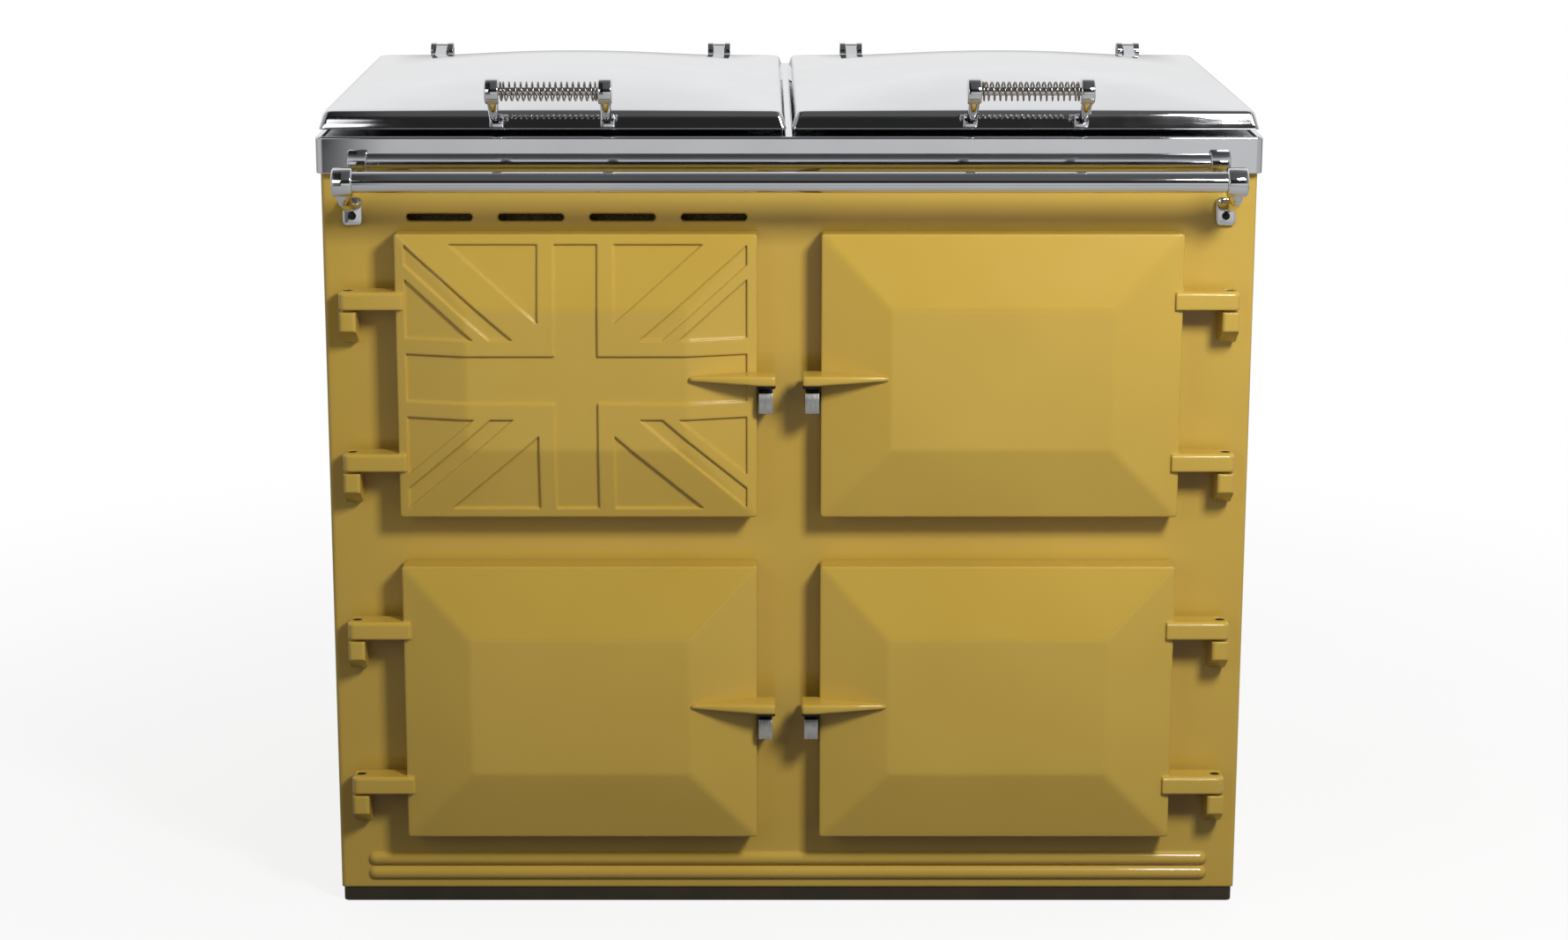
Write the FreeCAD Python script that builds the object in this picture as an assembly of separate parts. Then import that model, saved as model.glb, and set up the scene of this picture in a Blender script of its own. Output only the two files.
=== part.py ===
import FreeCAD, Part
import math
import os

# A cast iron range cooker with two sprung-handle lids and four cast doors, in millimetres.
# The origin is the middle of the plinth's underside; +X is to the right seen from the front, +Y runs to
# the back and +Z is up. Pieces that come in a left and a right are built on the right and mirrored.

V = FreeCAD.Vector

# ---- body -----------------------------------------------------------------------------------------
BODY_WIDTH = 988.0
BODY_DEPTH = 668.0
BODY_TOP = 815.0  # floor to the top of the enamelled front
PLINTH_HEIGHT = 17.0
PLINTH_SETBACK = 2.0
PLINTH_SHEET = 3.0
PLINTH_CORNER = 6.0
BASE_THICKNESS = 8.0
FRONT_THICKNESS = 8.0
FRONT_RETURN = 22.0  # how far the cast front turns back at its edges
FRONT_CORNER = 5.0
PANEL_SHEET = 2.0
PANEL_HEM = 14.0  # turned-in edge of a side panel
PANEL_SEAM = 0.5
FIT = 0.3  # general clearance between pieces that are only laid together

# ---- front: mouldings and vents --------------------------------------------------------------------
MOULDING_LENGTH = 926.0
MOULDING_HEIGHT = 15.5
MOULDING_PROUD = 5.0
MOULDING_LOWEST = 26.0
MOULDING_PITCH = 16.5
MOULDING_COUNT = 2
VENT_LENGTH = 70.0
VENT_HEIGHT = 8.0
VENT_PITCH = 96.8
VENT_COUNT = 4
VENT_ABOVE_DOOR = 8.5
VENT_BEVEL = 1.5

# ---- doors -----------------------------------------------------------------------------------------
DOOR_WIDTH = 381.0
DOOR_HEIGHT = 306.0
DOOR_SPACING = 68.0  # between the left and the right doors
UPPER_DOOR_BOTTOM = 448.0
LOWER_DOOR_BOTTOM = 87.0
DOOR_REAR_GAP = 4.0  # door to the front plate
DOOR_RIM = 28.0  # thickness at the edge
DOOR_CROWN = 18.0  # how far the flat middle stands in front of the rim
DOOR_FLAT_WIDTH = 235.0
DOOR_FLAT_HEIGHT = 151.0
DOOR_SOFT_EDGE = 30.0
DOOR_CORNER = 3.0
DOOR_WALL = 8.0
DOOR_LEDGE = 4.0
LINER_THICKNESS = 16.0
LINER_WALL = 4.0
SPIGOT_EDGE = 3.5
OPENING_INSET = 20.0  # door edge to the opening behind it
OPENING_CORNER = 16.0
SPIGOT_DEPTH = 14.0
SPIGOT_CLEARANCE = 6.0
SEAL_WIDTH = 8.0
SEAL_GROOVE = 5.0
SEAL_EDGE = 2.0
SEAL_OUTSET = 2.0  # opening edge to the rope

# ---- relief on the upper left door -----------------------------------------------------------------
RELIEF_DEPTH = 3.0
RELIEF_BORDER = 10.5
CROSS_UPRIGHT = 45.4
CROSS_BEAM = 50.8
CROSS_FILLET = 17.5  # plain band beside the cross
SALTIRE_SLOPE = 0.875
SALTIRE_UPPER = 25.5  # where each sloping edge would cross the door's middle line, above or below it
SALTIRE_STRIP_TOP = -15.8
SALTIRE_STRIP_FOOT = -36.9
SALTIRE_LOWER = -52.2

# ---- door hinges, handles and catches --------------------------------------------------------------
ARM_SPACING = 175.0
ARM_DROP = 5.0  # the pair of arms sits this far below the door's middle
ARM_HEIGHT = 19.0
ARM_OVERLAP = 8.0  # arm over the door's edge
ARM_REACH = 50.5  # door edge to pin
ARM_BACK = 15.0  # back of the arm behind the pin
ARM_TIP = 9.3  # end of the arm beyond the pin
ARM_FRONT = 38.0  # front of the arm from the front plate
ARM_CORNER = 7.6
ARM_EDGE = 2.5
PIN_OFFSET = 22.5  # pin axis from the front plate
PIN_RADIUS = 5.0
PIN_CLEARANCE = 0.05
PIN_SUNK = 0.5
PAD_RADIUS = 8.0
PAD_HEIGHT = 2.9
PAD_SIDES = 12
LUG_EDGE = 2.5
LUG_WIDTH = 18.0
LUG_HEIGHT = 20.0
LUG_FRONT = 37.0
LUG_CORBEL = 16.0
LUG_FOOT = 12.0
LUG_BORE_DEPTH = 16.0
HANDLE_LENGTH = 91.0
HANDLE_RISE = 6.0  # top of the blade over the door's middle
HANDLE_HEIGHT = 9.5
HANDLE_TIP_HEIGHT = 5.0
HANDLE_NOSE_HEIGHT = 10.5
HANDLE_FRONT = 60.0  # front of the handle from the front plate
HANDLE_TIP_PROUD = 1.5
HANDLE_BACK = 26.0
HANDLE_EDGE = 3.5
LATCH_OVERHANG = 20.0  # latch end beyond the door's edge
LATCH_HEIGHT = 4.0
LATCH_FRONT = 55.0
LATCH_BACK = 8.0
LATCH_TOE_DEPTH = 9.0
LATCH_TOE_DROP = 6.0
CATCH_WIDTH = 15.0
CATCH_HEIGHT = 22.5
CATCH_FRONT = 45.0
CATCH_BULGE = 2.5
CATCH_CLEARANCE = 0.6
CATCH_SIDE_GAP = 2.0

# ---- top plate and hotplates -----------------------------------------------------------------------
TOP_WIDTH = 994.6
TOP_OVERHANG = 12.0  # in front of the front plate
TOP_HEIGHT = 39.0
TOP_WALL = 6.0
TOP_LIP = 30.0
TOP_LIP_THICKNESS = 5.0
TOP_CORNER = 8.0
TOP_EDGE = 2.5
HOTPLATE_WIDTH = 400.0
HOTPLATE_DEPTH = 420.0
HOTPLATE_CORNER = 50.0
HOTPLATE_THICKNESS = 26.0
HOTPLATE_FLANGE = 6.0
HOTPLATE_PROUD = 2.0
HOTPLATE_Y = -50.0
ELEMENT_WIDTH = 8.0
ELEMENT_PITCH = 60.0
ELEMENT_PASSES = 6
ELEMENT_RUN = 300.0

# ---- lids ------------------------------------------------------------------------------------------
LID_GAP = 6.0  # between the two lids at their lower edges
LID_WIDTH = 493.0
LID_FRONT = 13.0  # lower front edge behind the front plate
LID_DEPTH = 540.0
LID_LIFT = 4.0  # over the top plate
LID_SKIRT = 19.5
LID_SLOPE = 5.0  # each skirt leans in by this much
LID_CROWN = 24.0
LID_CROWN_POWER = 2.4
LID_STATIONS = 6
LID_SHEET = 2.0
LID_LINER = 1.5
LID_LINER_RIM = 10.0
LID_LINER_GAP = 0.3
LID_LINER_RAISE = 1.5  # over the skirts' lower edge
LID_HINGE_REACH = 24.0  # lower back edge to the pin
LID_HINGE_RISE = 25.0  # pin axis over the top plate
LID_HINGE_SPACING = 338.0
LID_PIN_RADIUS = 4.0
LID_LUG_WIDTH = 13.0
LID_LUG_RADIUS = 9.0
LID_BRACKET_WIDTH = 27.0
LID_BRACKET_RADIUS = 10.0
LID_BRACKET_BASE = 4.0
LID_BRACKET_LENGTH = 34.0
SIDE_PLAY = 0.3

# ---- sprung handles of the lids --------------------------------------------------------------------
GRIP_LENGTH = 131.0
GRIP_FORWARD = 45.0  # rod axis in front of the front plate
GRIP_HEIGHT = 52.0  # rod axis over the top plate
GRIP_CAP_RADIUS = 13.3
GRIP_CAP_LENGTH = 14.5
GRIP_ARM_RADIUS = 4.8
GRIP_ARM_SIDES = 8
GRIP_ARM_BOW = (4.0, -9.0)  # back and up, from the straight line between foot and cap
GRIP_FOOT_WIDTH = 15.0
GRIP_FOOT_HEIGHT = 14.0
GRIP_FOOT_THICKNESS = 5.0
GRIP_FOOT_CORNER = 2.0
GRIP_ROD_RADIUS = 4.5
GRIP_ROD_SOCKET = 6.0
SPRING_RADIUS = 9.4  # to the middle of the wire
SPRING_WIRE = 2.0
SPRING_TURNS = 16
SPRING_SIDES = 6
SPRING_END_GAP = 0.4

# ---- handrail --------------------------------------------------------------------------------------
RAIL_RADIUS = 11.0
RAIL_FORWARD = 78.0
RAIL_HEIGHT = 816.0
RAIL_CAP_RADIUS = 15.0
RAIL_CAP_LENGTH = 21.5
RAIL_CAP_OUTER = 471.5
RAIL_SOCKET = 15.0
RAIL_WALL = 2.0
RAIL_FOOT_WIDTH = 21.0
RAIL_FOOT_LOW = 759.0
RAIL_FOOT_HEIGHT = 30.0
RAIL_FOOT_THICKNESS = 7.0
RAIL_FOOT_CORNER = 5.25
RAIL_ARM_RADIUS = 6.5
RAIL_ARM_BOW = 6.0

# ---- ovens, shelves and inner pieces ---------------------------------------------------------------
OVEN_DEPTH = 470.0
OVEN_WALL = 7.0
OVEN_MOUTH_STEP = 3.0
OVEN_FLANGE = 14.0
OVEN_FLANGE_THICKNESS = 6.0
RUNNER_PROUD = 8.0
RUNNER_HEIGHT = 6.0
RUNNER_LENGTH = 380.0
RUNNER_PITCH = 75.0
RUNNER_COUNT = 3
OVEN_FOOT_WIDTH = 36.0
OVEN_FOOT_INSET = 45.0
SHELF_DEPTH = 372.0
SHELF_BAR = 5.0
SHELF_SLAT = 3.0
SHELF_SLATS = 11
CONTROL_DEPTH = 150.0
CONTROL_SHEET = 2.0
CONTROL_PANEL_SETBACK = 62.0
CONTROL_PANEL_THICKNESS = 3.0
CONTROL_STOP = 12.0
KNOB_RADIUS = 21.0
KNOB_LENGTH = 18.0
KNOB_SIDES = 12
KNOB_EDGE = 2.5
KNOB_POINTER_WIDTH = 6.0
KNOB_POINTER_PROUD = 2.0
KNOB_PITCH = 96.0
KNOB_STANDOFF = 1.5
SPINDLE_RADIUS = 3.0
SPINDLE_LENGTH = 26.0

# ---- back ------------------------------------------------------------------------------------------
BACK_RECESS = 24.0  # back panel inside the back edges of the sides
LOUVRE_LENGTH = 90.0
LOUVRE_HEIGHT = 7.0
LOUVRE_PITCH_X = 130.0
LOUVRE_PITCH_Z = 22.0
LOUVRE_COLUMNS = 4
LOUVRE_ROWS = 3
LOUVRE_TOP = 760.0
GLAND_INSET = 114.0  # in from the cooker's side
GLAND_Z = 120.0
GLAND_RADIUS = 15.0
GLAND_BORE = 7.0
GLAND_NECK = 10.0
GLAND_PROUD = 18.0
GLAND_NUT = 5.0

# ---- places worked out from the sizes above --------------------------------------------------------
FRONT = -BODY_DEPTH / 2
BACK = BODY_DEPTH / 2
HALF_WIDTH = BODY_WIDTH / 2
BASE_TOP = PLINTH_HEIGHT + BASE_THICKNESS
TOP_SURFACE = BODY_TOP + TOP_HEIGHT
DOOR_X = DOOR_SPACING / 2 + DOOR_WIDTH / 2
UPPER_Z = UPPER_DOOR_BOTTOM + DOOR_HEIGHT / 2
LOWER_Z = LOWER_DOOR_BOTTOM + DOOR_HEIGHT / 2
DOOR_BACK = FRONT - DOOR_REAR_GAP
RIM_FRONT = DOOR_BACK - DOOR_RIM
FLAT_FRONT = RIM_FRONT - DOOR_CROWN
PIN_X = DOOR_SPACING / 2 + DOOR_WIDTH + ARM_REACH
PIN_Y = FRONT - PIN_OFFSET
OPENING_WIDTH = DOOR_WIDTH - 2 * OPENING_INSET
OPENING_HEIGHT = DOOR_HEIGHT - 2 * OPENING_INSET
FRONT_INSIDE = FRONT + FRONT_THICKNESS
CAVITY_WIDTH = OPENING_WIDTH - 2 * OVEN_MOUTH_STEP
CAVITY_HEIGHT = OPENING_HEIGHT - 2 * OVEN_MOUTH_STEP
LID_X = LID_GAP / 2 + LID_WIDTH / 2
LID_BOTTOM = TOP_SURFACE + LID_LIFT
LID_Y0 = FRONT + LID_FRONT
LID_Y1 = LID_Y0 + LID_DEPTH
LID_PIN_Y = LID_Y1 + LID_HINGE_REACH
LID_PIN_Z = TOP_SURFACE + LID_HINGE_RISE
GRIP_Y = FRONT - GRIP_FORWARD
GRIP_Z = TOP_SURFACE + GRIP_HEIGHT
RAIL_Y = FRONT - RAIL_FORWARD
GLAND_X = HALF_WIDTH - GLAND_INSET

AXES = {"x": V(1, 0, 0), "y": V(0, 1, 0), "z": V(0, 0, 1)}


# ---- shapes that many pieces share -----------------------------------------------------------------
def block(low, high, radius=0.0, along="z"):
    """A box between two corners, its four edges along one axis rounded."""
    low, high = V(*low), V(*high)
    size = high - low
    solid = Part.makeBox(size.x, size.y, size.z, low)
    if radius:
        solid = solid.makeFillet(radius, straight_edges(solid, along))
    return solid


def straight_edges(solid, along, least=0.0):
    """The solid's straight edges that run along one axis and are longer than a given length."""
    axis = AXES[along]
    found = []
    for edge in solid.Edges:
        if len(edge.Vertexes) == 2 and edge.Length > least:
            run = edge.Vertexes[1].Point - edge.Vertexes[0].Point
            if abs(abs(run.dot(axis)) - edge.Length) < 1e-6:
                found.append(edge)
    return found


def plate(width, height, x, z, y0, y1, radius):
    """An upright slab with rounded corners, centred on x and z, between two depths."""
    low = (x - width / 2, y0, z - height / 2)
    high = (x + width / 2, y1, z + height / 2)
    return block(low, high, radius, "y")


def rod(start, end, radius):
    """A round bar between two points."""
    start, end = V(*start), V(*end)
    run = end - start
    return Part.makeCylinder(radius, run.Length, start, run)


def flat_sided(first, last):
    """The solid between two outlines with as many corners, where every side between them is flat."""
    faces = [Part.Face(Part.makePolygon(ring + ring[:1])) for ring in (first, last)]
    for i in range(len(first)):
        j = (i + 1) % len(first)
        faces.append(Part.Face(Part.makePolygon([first[i], first[j], last[j], last[i], first[i]])))
    solid = Part.makeSolid(Part.makeShell(faces))
    if solid.Volume < 0:
        solid.reverse()
    return solid


def rectangle(width, height, x, y, z):
    """The corners of an upright rectangle."""
    return [V(x + sx * width / 2, y, z + sz * height / 2) for sx, sz in
            ((-1, -1), (1, -1), (1, 1), (-1, 1))]


def frustum(width0, height0, y0, width1, height1, y1, x, z):
    """A tapering slab between two upright rectangles on the same centre."""
    return flat_sided(rectangle(width0, height0, x, y0, z), rectangle(width1, height1, x, y1, z))


def prism(points, run):
    """A polygon pushed along a vector."""
    return Part.Face(Part.makePolygon(points + points[:1])).extrude(run)


def fused(shapes):
    """Several touching solids as one."""
    whole = shapes[0]
    for shape in shapes[1:]:
        whole = whole.fuse(shape)
    return whole.removeSplitter()


def mirrored(shape):
    """The left-hand version of a right-hand piece."""
    return shape.mirror(V(0, 0, 0), V(1, 0, 0))


def on_side(shape, side):
    return shape if side > 0 else mirrored(shape)


def edges_where(solid, test):
    """The solid's edges whose middle point passes a test."""
    return [e for e in solid.Edges
            if test(e.valueAt((e.FirstParameter + e.LastParameter) / 2))]


def slot(length, height, x, z, y0, y1):
    """A slot with round ends through an upright wall, from its left end."""
    r = height / 2
    return fused([
        block((x + r, y0, z - r), (x + length - r, y1, z + r)),
        rod((x + r, y0, z), (x + r, y1, z), r),
        rod((x + length - r, y0, z), (x + length - r, y1, z), r),
    ])


def save(name, shape):
    """Writes one named piece, or one group of separate like pieces."""
    if isinstance(shape, list):
        shape = Part.makeCompound(shape)
    shape.exportStep("parts/%s.step" % name)


# ---- body ------------------------------------------------------------------------------------------
def make_plinth():
    """Folded steel tray that the cooker stands on."""
    x, y = HALF_WIDTH - PLINTH_SETBACK, BACK - PLINTH_SETBACK
    tray = block((-x, -y, 0), (x, y, PLINTH_HEIGHT), PLINTH_CORNER)
    t = PLINTH_SHEET
    inside = block((t - x, t - y, t), (x - t, y - t, PLINTH_HEIGHT + 1), PLINTH_CORNER - t)
    rib = [block((sx * x / 3 - t, t - y, t), (sx * x / 3 + t, y - t, PLINTH_HEIGHT)) for sx in (-1, 1)]
    return fused([tray.cut(inside)] + rib)


def make_base_plate():
    """Cast plate inside the panels that the ovens stand on."""
    x = HALF_WIDTH - FRONT_CORNER - FIT
    low = (-x, FRONT_INSIDE, PLINTH_HEIGHT)
    return block(low, (x, BACK - PANEL_SHEET - FIT, BASE_TOP))


def moulding(z):
    """One half-round rib with round ends across the foot of the front."""
    radius = (MOULDING_HEIGHT ** 2 / 4 + MOULDING_PROUD ** 2) / (2 * MOULDING_PROUD)
    y = FRONT + radius - MOULDING_PROUD
    x = MOULDING_LENGTH / 2 - MOULDING_HEIGHT / 2
    bar = fused([rod((-x, y, z), (x, y, z), radius),
                 Part.makeSphere(radius, V(-x, y, z)),
                 Part.makeSphere(radius, V(x, y, z))])
    buried = FRONT + FRONT_THICKNESS / 4
    return bar.common(block((-HALF_WIDTH, y - radius - 1, z - MOULDING_HEIGHT),
                            (HALF_WIDTH, buried, z + MOULDING_HEIGHT)))


def make_front_plate():
    """Enamelled cast front: a tray with turned-back edges, four openings, vents and two mouldings."""
    w, z0, z1 = HALF_WIDTH, PLINTH_HEIGHT, BODY_TOP
    y1 = FRONT + FRONT_RETURN
    outer = block((-w, FRONT, z0), (w, y1 + FRONT_CORNER, z1), FRONT_CORNER)
    outer = outer.cut(block((-w - 1, y1, z0 - 1), (w + 1, y1 + 2 * FRONT_CORNER, z1 + 1)))
    wall = FRONT_CORNER
    shell = outer.cut(block((wall - w, FRONT_INSIDE, z0 - 1), (w - wall, y1 + 1, z1 - wall)))
    for sx in (-1, 1):
        for z in (UPPER_Z, LOWER_Z):
            shell = shell.cut(plate(OPENING_WIDTH, OPENING_HEIGHT, sx * DOOR_X, z,
                                    FRONT - 1, y1 + 1, OPENING_CORNER))
    first = -DOOR_X - (VENT_PITCH * (VENT_COUNT - 1) + VENT_LENGTH) / 2
    z = UPPER_DOOR_BOTTOM + DOOR_HEIGHT + VENT_ABOVE_DOOR + VENT_HEIGHT / 2
    for i in range(VENT_COUNT):
        vent = slot(VENT_LENGTH, VENT_HEIGHT, first + i * VENT_PITCH, z, FRONT - 1, FRONT_INSIDE + 1)
        shell = shell.cut(vent)
    mouth = edges_where(shell, lambda p: abs(p.y - FRONT) < 1e-3
                        and abs(p.z - z) < VENT_HEIGHT / 2 + 1e-3 and abs(p.x) < w - FRONT_CORNER)
    shell = shell.makeChamfer(VENT_BEVEL, mouth)
    rows = [MOULDING_LOWEST + MOULDING_HEIGHT / 2 + i * MOULDING_PITCH for i in range(MOULDING_COUNT)]
    return fused([shell] + [moulding(row) for row in rows])


def make_side_panel():
    """Enamelled steel side: a sheet with turned-in edges at the front, back and top."""
    x1, t = HALF_WIDTH, PANEL_SHEET
    y0, y1 = FRONT + FRONT_RETURN + PANEL_SEAM, BACK
    sheet = block((x1 - t, y0, PLINTH_HEIGHT), (x1, y1, BODY_TOP))
    inner = x1 - PANEL_HEM
    back_hem = block((inner, y1 - t, PLINTH_HEIGHT), (x1 - t, y1, BODY_TOP))
    top_hem = block((inner, y0, BODY_TOP - t), (x1 - t, y1 - t, BODY_TOP))
    return fused([sheet, back_hem, top_hem])


def back_panel_face():
    """Outside of the back panel."""
    return BACK - BACK_RECESS


def make_back_panel():
    """Plain steel back a little inside the edges of the side panels, with vents and the cable hole."""
    x = HALF_WIDTH - PANEL_SHEET - FIT
    y1 = back_panel_face()
    sheet = block((-x, y1 - PANEL_SHEET, BASE_TOP), (x, y1, BODY_TOP - PANEL_SHEET))
    for column in range(LOUVRE_COLUMNS):
        for row in range(LOUVRE_ROWS):
            left = (column - (LOUVRE_COLUMNS - 1) / 2) * LOUVRE_PITCH_X - LOUVRE_LENGTH / 2
            top = LOUVRE_TOP - row * LOUVRE_PITCH_Z
            sheet = sheet.cut(block((left, y1 - 2 * PANEL_SHEET, top - LOUVRE_HEIGHT),
                                    (left + LOUVRE_LENGTH, y1 + 1, top)))
    return sheet.cut(rod((GLAND_X, y1 - 2 * PANEL_SHEET, GLAND_Z), (GLAND_X, y1 + 1, GLAND_Z), GLAND_NECK))


def make_cable_gland():
    """Moulded inlet for the supply cable, held in the back panel by its nut."""
    y1 = back_panel_face()
    y0 = y1 - PANEL_SHEET
    body = fused([
        rod((GLAND_X, y1, GLAND_Z), (GLAND_X, y1 + GLAND_PROUD, GLAND_Z), GLAND_RADIUS),
        rod((GLAND_X, y0 - GLAND_NUT, GLAND_Z), (GLAND_X, y1, GLAND_Z), GLAND_NECK),
        rod((GLAND_X, y0 - GLAND_NUT, GLAND_Z), (GLAND_X, y0, GLAND_Z), GLAND_RADIUS),
    ])
    mouth = edges_where(body, lambda p: abs(p.y - y1 - GLAND_PROUD) < 1e-3)
    body = body.makeChamfer(GLAND_RADIUS - GLAND_NECK, mouth)
    hole = rod((GLAND_X, y0 - GLAND_NUT - 1, GLAND_Z), (GLAND_X, y1 + GLAND_PROUD + 1, GLAND_Z), GLAND_BORE)
    return body.cut(hole)


# ---- top plate and hotplates -----------------------------------------------------------------------
def make_top_plate():
    """Polished plated top: a shallow box casting with a lip below and an aperture over each hotplate."""
    w, y0, y1 = TOP_WIDTH / 2, FRONT - TOP_OVERHANG, BACK
    z0, z1 = BODY_TOP, TOP_SURFACE
    outer = block((-w, y0, z0), (w, y1, z1), TOP_CORNER)
    top_edges = edges_where(outer, lambda p: abs(p.z - z1) < 1e-3)
    outer = outer.makeFillet(TOP_EDGE, top_edges)
    t = TOP_WALL
    inside = block((t - w, y0 + t, z0 + TOP_LIP_THICKNESS), (w - t, y1 - t, z1 - t))
    mouth = block((TOP_LIP - w, y0 + TOP_LIP, z0 - 1), (w - TOP_LIP, y1 - TOP_LIP, z0 + t + 1))
    shell = outer.cut(inside).cut(mouth)
    for sx in (-1, 1):
        shell = shell.cut(hotplate_core(sx * LID_X, FIT, z1 - 2 * t, z1 + 1))
    return shell


def hotplate_core(x, grown, z0, z1):
    """The hotplate's rounded outline as an upright slab, a little larger or smaller."""
    half_w, half_d = HOTPLATE_WIDTH / 2 + grown, HOTPLATE_DEPTH / 2 + grown
    low = (x - half_w, HOTPLATE_Y - half_d, z0)
    return block(low, (x + half_w, HOTPLATE_Y + half_d, z1), HOTPLATE_CORNER + grown)


def element_grooves(x):
    """Parallel channels under a hotplate for the heating element."""
    z = TOP_SURFACE + HOTPLATE_PROUD - HOTPLATE_THICKNESS
    first = -(ELEMENT_PASSES - 1) / 2 * ELEMENT_PITCH
    for i in range(ELEMENT_PASSES):
        yield x + first + i * ELEMENT_PITCH, z


def make_hotplate(x):
    """Thick cast plate, ground flat on top, hung in its aperture by a thin flange."""
    top = TOP_SURFACE + HOTPLATE_PROUD
    core = hotplate_core(x, 0, top - HOTPLATE_THICKNESS, top)
    flange = hotplate_core(x, HOTPLATE_FLANGE, TOP_SURFACE, top)
    hotplate = fused([core, flange])
    for gx, gz in element_grooves(x):
        hotplate = hotplate.cut(element_bar(gx, gz, FIT))
    return hotplate


def element_bar(x, z, grown):
    """One flat element bar from its underside, or the groove that holds it."""
    w, run = ELEMENT_WIDTH / 2 + grown, ELEMENT_RUN / 2 + grown
    return block((x - w, HOTPLATE_Y - run, z), (x + w, HOTPLATE_Y + run, z + ELEMENT_WIDTH + grown))


def make_heating_elements():
    """Flat sheathed bars pressed into the grooves under the hotplates."""
    return [element_bar(gx, gz, 0) for sx in (-1, 1) for gx, gz in element_grooves(sx * LID_X)]


# ---- doors -----------------------------------------------------------------------------------------
def door_face(z):
    """Outside of a door: a thick rim under a shallow flat-topped pyramid, all edges eased."""
    rim = block((DOOR_X - DOOR_WIDTH / 2, RIM_FRONT, z - DOOR_HEIGHT / 2),
                (DOOR_X + DOOR_WIDTH / 2, DOOR_BACK, z + DOOR_HEIGHT / 2))
    crown = frustum(DOOR_WIDTH, DOOR_HEIGHT, RIM_FRONT,
                    DOOR_FLAT_WIDTH, DOOR_FLAT_HEIGHT, FLAT_FRONT, DOOR_X, z)
    face = fused([rim, crown])
    face = face.makeFillet(DOOR_SOFT_EDGE, edges_where(face, lambda p: p.y < RIM_FRONT - 1e-3))
    return face.makeFillet(DOOR_CORNER, straight_edges(face, "y", DOOR_RIM / 2))


def relief_panels(z):
    """The sunk panels of the flag: one cross, and three sloping panels in each quarter."""
    x_far = DOOR_WIDTH / 2 - RELIEF_BORDER
    z_far = DOOR_HEIGHT / 2 - RELIEF_BORDER
    x_near = CROSS_UPRIGHT / 2 + CROSS_FILLET
    z_near = CROSS_BEAM / 2 + CROSS_FILLET

    def z_on(x, offset):
        return SALTIRE_SLOPE * x + offset

    def x_on(height, offset):
        return (height - offset) / SALTIRE_SLOPE

    quarter = [
        [(x_near, z_on(x_near, SALTIRE_UPPER)), (x_on(z_far, SALTIRE_UPPER), z_far), (x_near, z_far)],
        [(x_far, z_on(x_far, SALTIRE_STRIP_TOP)), (x_on(z_near, SALTIRE_STRIP_TOP), z_near),
         (x_on(z_near, SALTIRE_STRIP_FOOT), z_near), (x_far, z_on(x_far, SALTIRE_STRIP_FOOT))],
        [(x_far, z_on(x_far, SALTIRE_LOWER)), (x_on(z_near, SALTIRE_LOWER), z_near), (x_far, z_near)],
    ]
    y0, run = FLAT_FRONT - 1, V(0, DOOR_CROWN + RELIEF_DEPTH + 1, 0)
    panels = [prism([V(DOOR_X + sx * px, y0, z + sz * pz) for px, pz in outline], run)
              for sx in (-1, 1) for sz in (-1, 1) for outline in quarter]
    y1 = y0 + run.y
    upright = block((DOOR_X - CROSS_UPRIGHT / 2, y0, z - z_far), (DOOR_X + CROSS_UPRIGHT / 2, y1, z + z_far))
    beam = block((DOOR_X - x_far, y0, z - CROSS_BEAM / 2), (DOOR_X + x_far, y1, z + CROSS_BEAM / 2))
    return panels + [fused([upright, beam])]


def arm_heights(z):
    """Middle height of a door's two hinge arms."""
    return [z - ARM_DROP + sign * ARM_SPACING / 2 for sign in (-1, 1)]


def hinge_arm(z):
    """One arm from the door's edge to its boss round the pin."""
    x_root = PIN_X - ARM_REACH - ARM_OVERLAP
    back = PIN_Y + ARM_BACK
    front = FRONT - ARM_FRONT
    z0, z1 = z - ARM_HEIGHT / 2, z + ARM_HEIGHT / 2
    arm = block((x_root, front, z0), (PIN_X + ARM_TIP, back, z1), ARM_CORNER)
    arm = fused([arm, block((x_root, front, z0), (PIN_X - ARM_TIP, back, z1))])
    rim = edges_where(arm, lambda p: abs(p.z - z1) < 1e-3 and p.x > x_root + 1e-3)
    return arm.makeChamfer(ARM_EDGE, rim)


def door_form(z, with_relief):
    """A door's casting before it is hollowed, its sunk panels following the pyramid at one depth."""
    face = door_face(z)
    if with_relief:
        lowered = face.translated(V(0, RELIEF_DEPTH, 0))
        for panel in relief_panels(z):
            face = face.cut(panel.cut(lowered))
    return face


def make_door(z, form):
    """Enamelled cast door with its two hinge arms, hollow behind."""
    seat = DOOR_BACK - LINER_THICKNESS
    wall, ledge = DOOR_WALL, DOOR_WALL + DOOR_LEDGE
    pocket = plate(DOOR_WIDTH - 2 * wall, DOOR_HEIGHT - 2 * wall, DOOR_X, z, seat, DOOR_BACK + 1, DOOR_CORNER)
    hollow = frustum(DOOR_WIDTH - 2 * ledge, DOOR_HEIGHT - 2 * ledge, seat,
                     DOOR_FLAT_WIDTH, DOOR_FLAT_HEIGHT, FLAT_FRONT + wall, DOOR_X, z)
    door = fused([form] + [hinge_arm(h) for h in arm_heights(z)]).cut(pocket).cut(hollow)
    for h in arm_heights(z):
        door = door.cut(rod((PIN_X, PIN_Y, h - ARM_HEIGHT), (PIN_X, PIN_Y, h + ARM_HEIGHT),
                            PIN_RADIUS + PIN_CLEARANCE))
    return door


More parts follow.
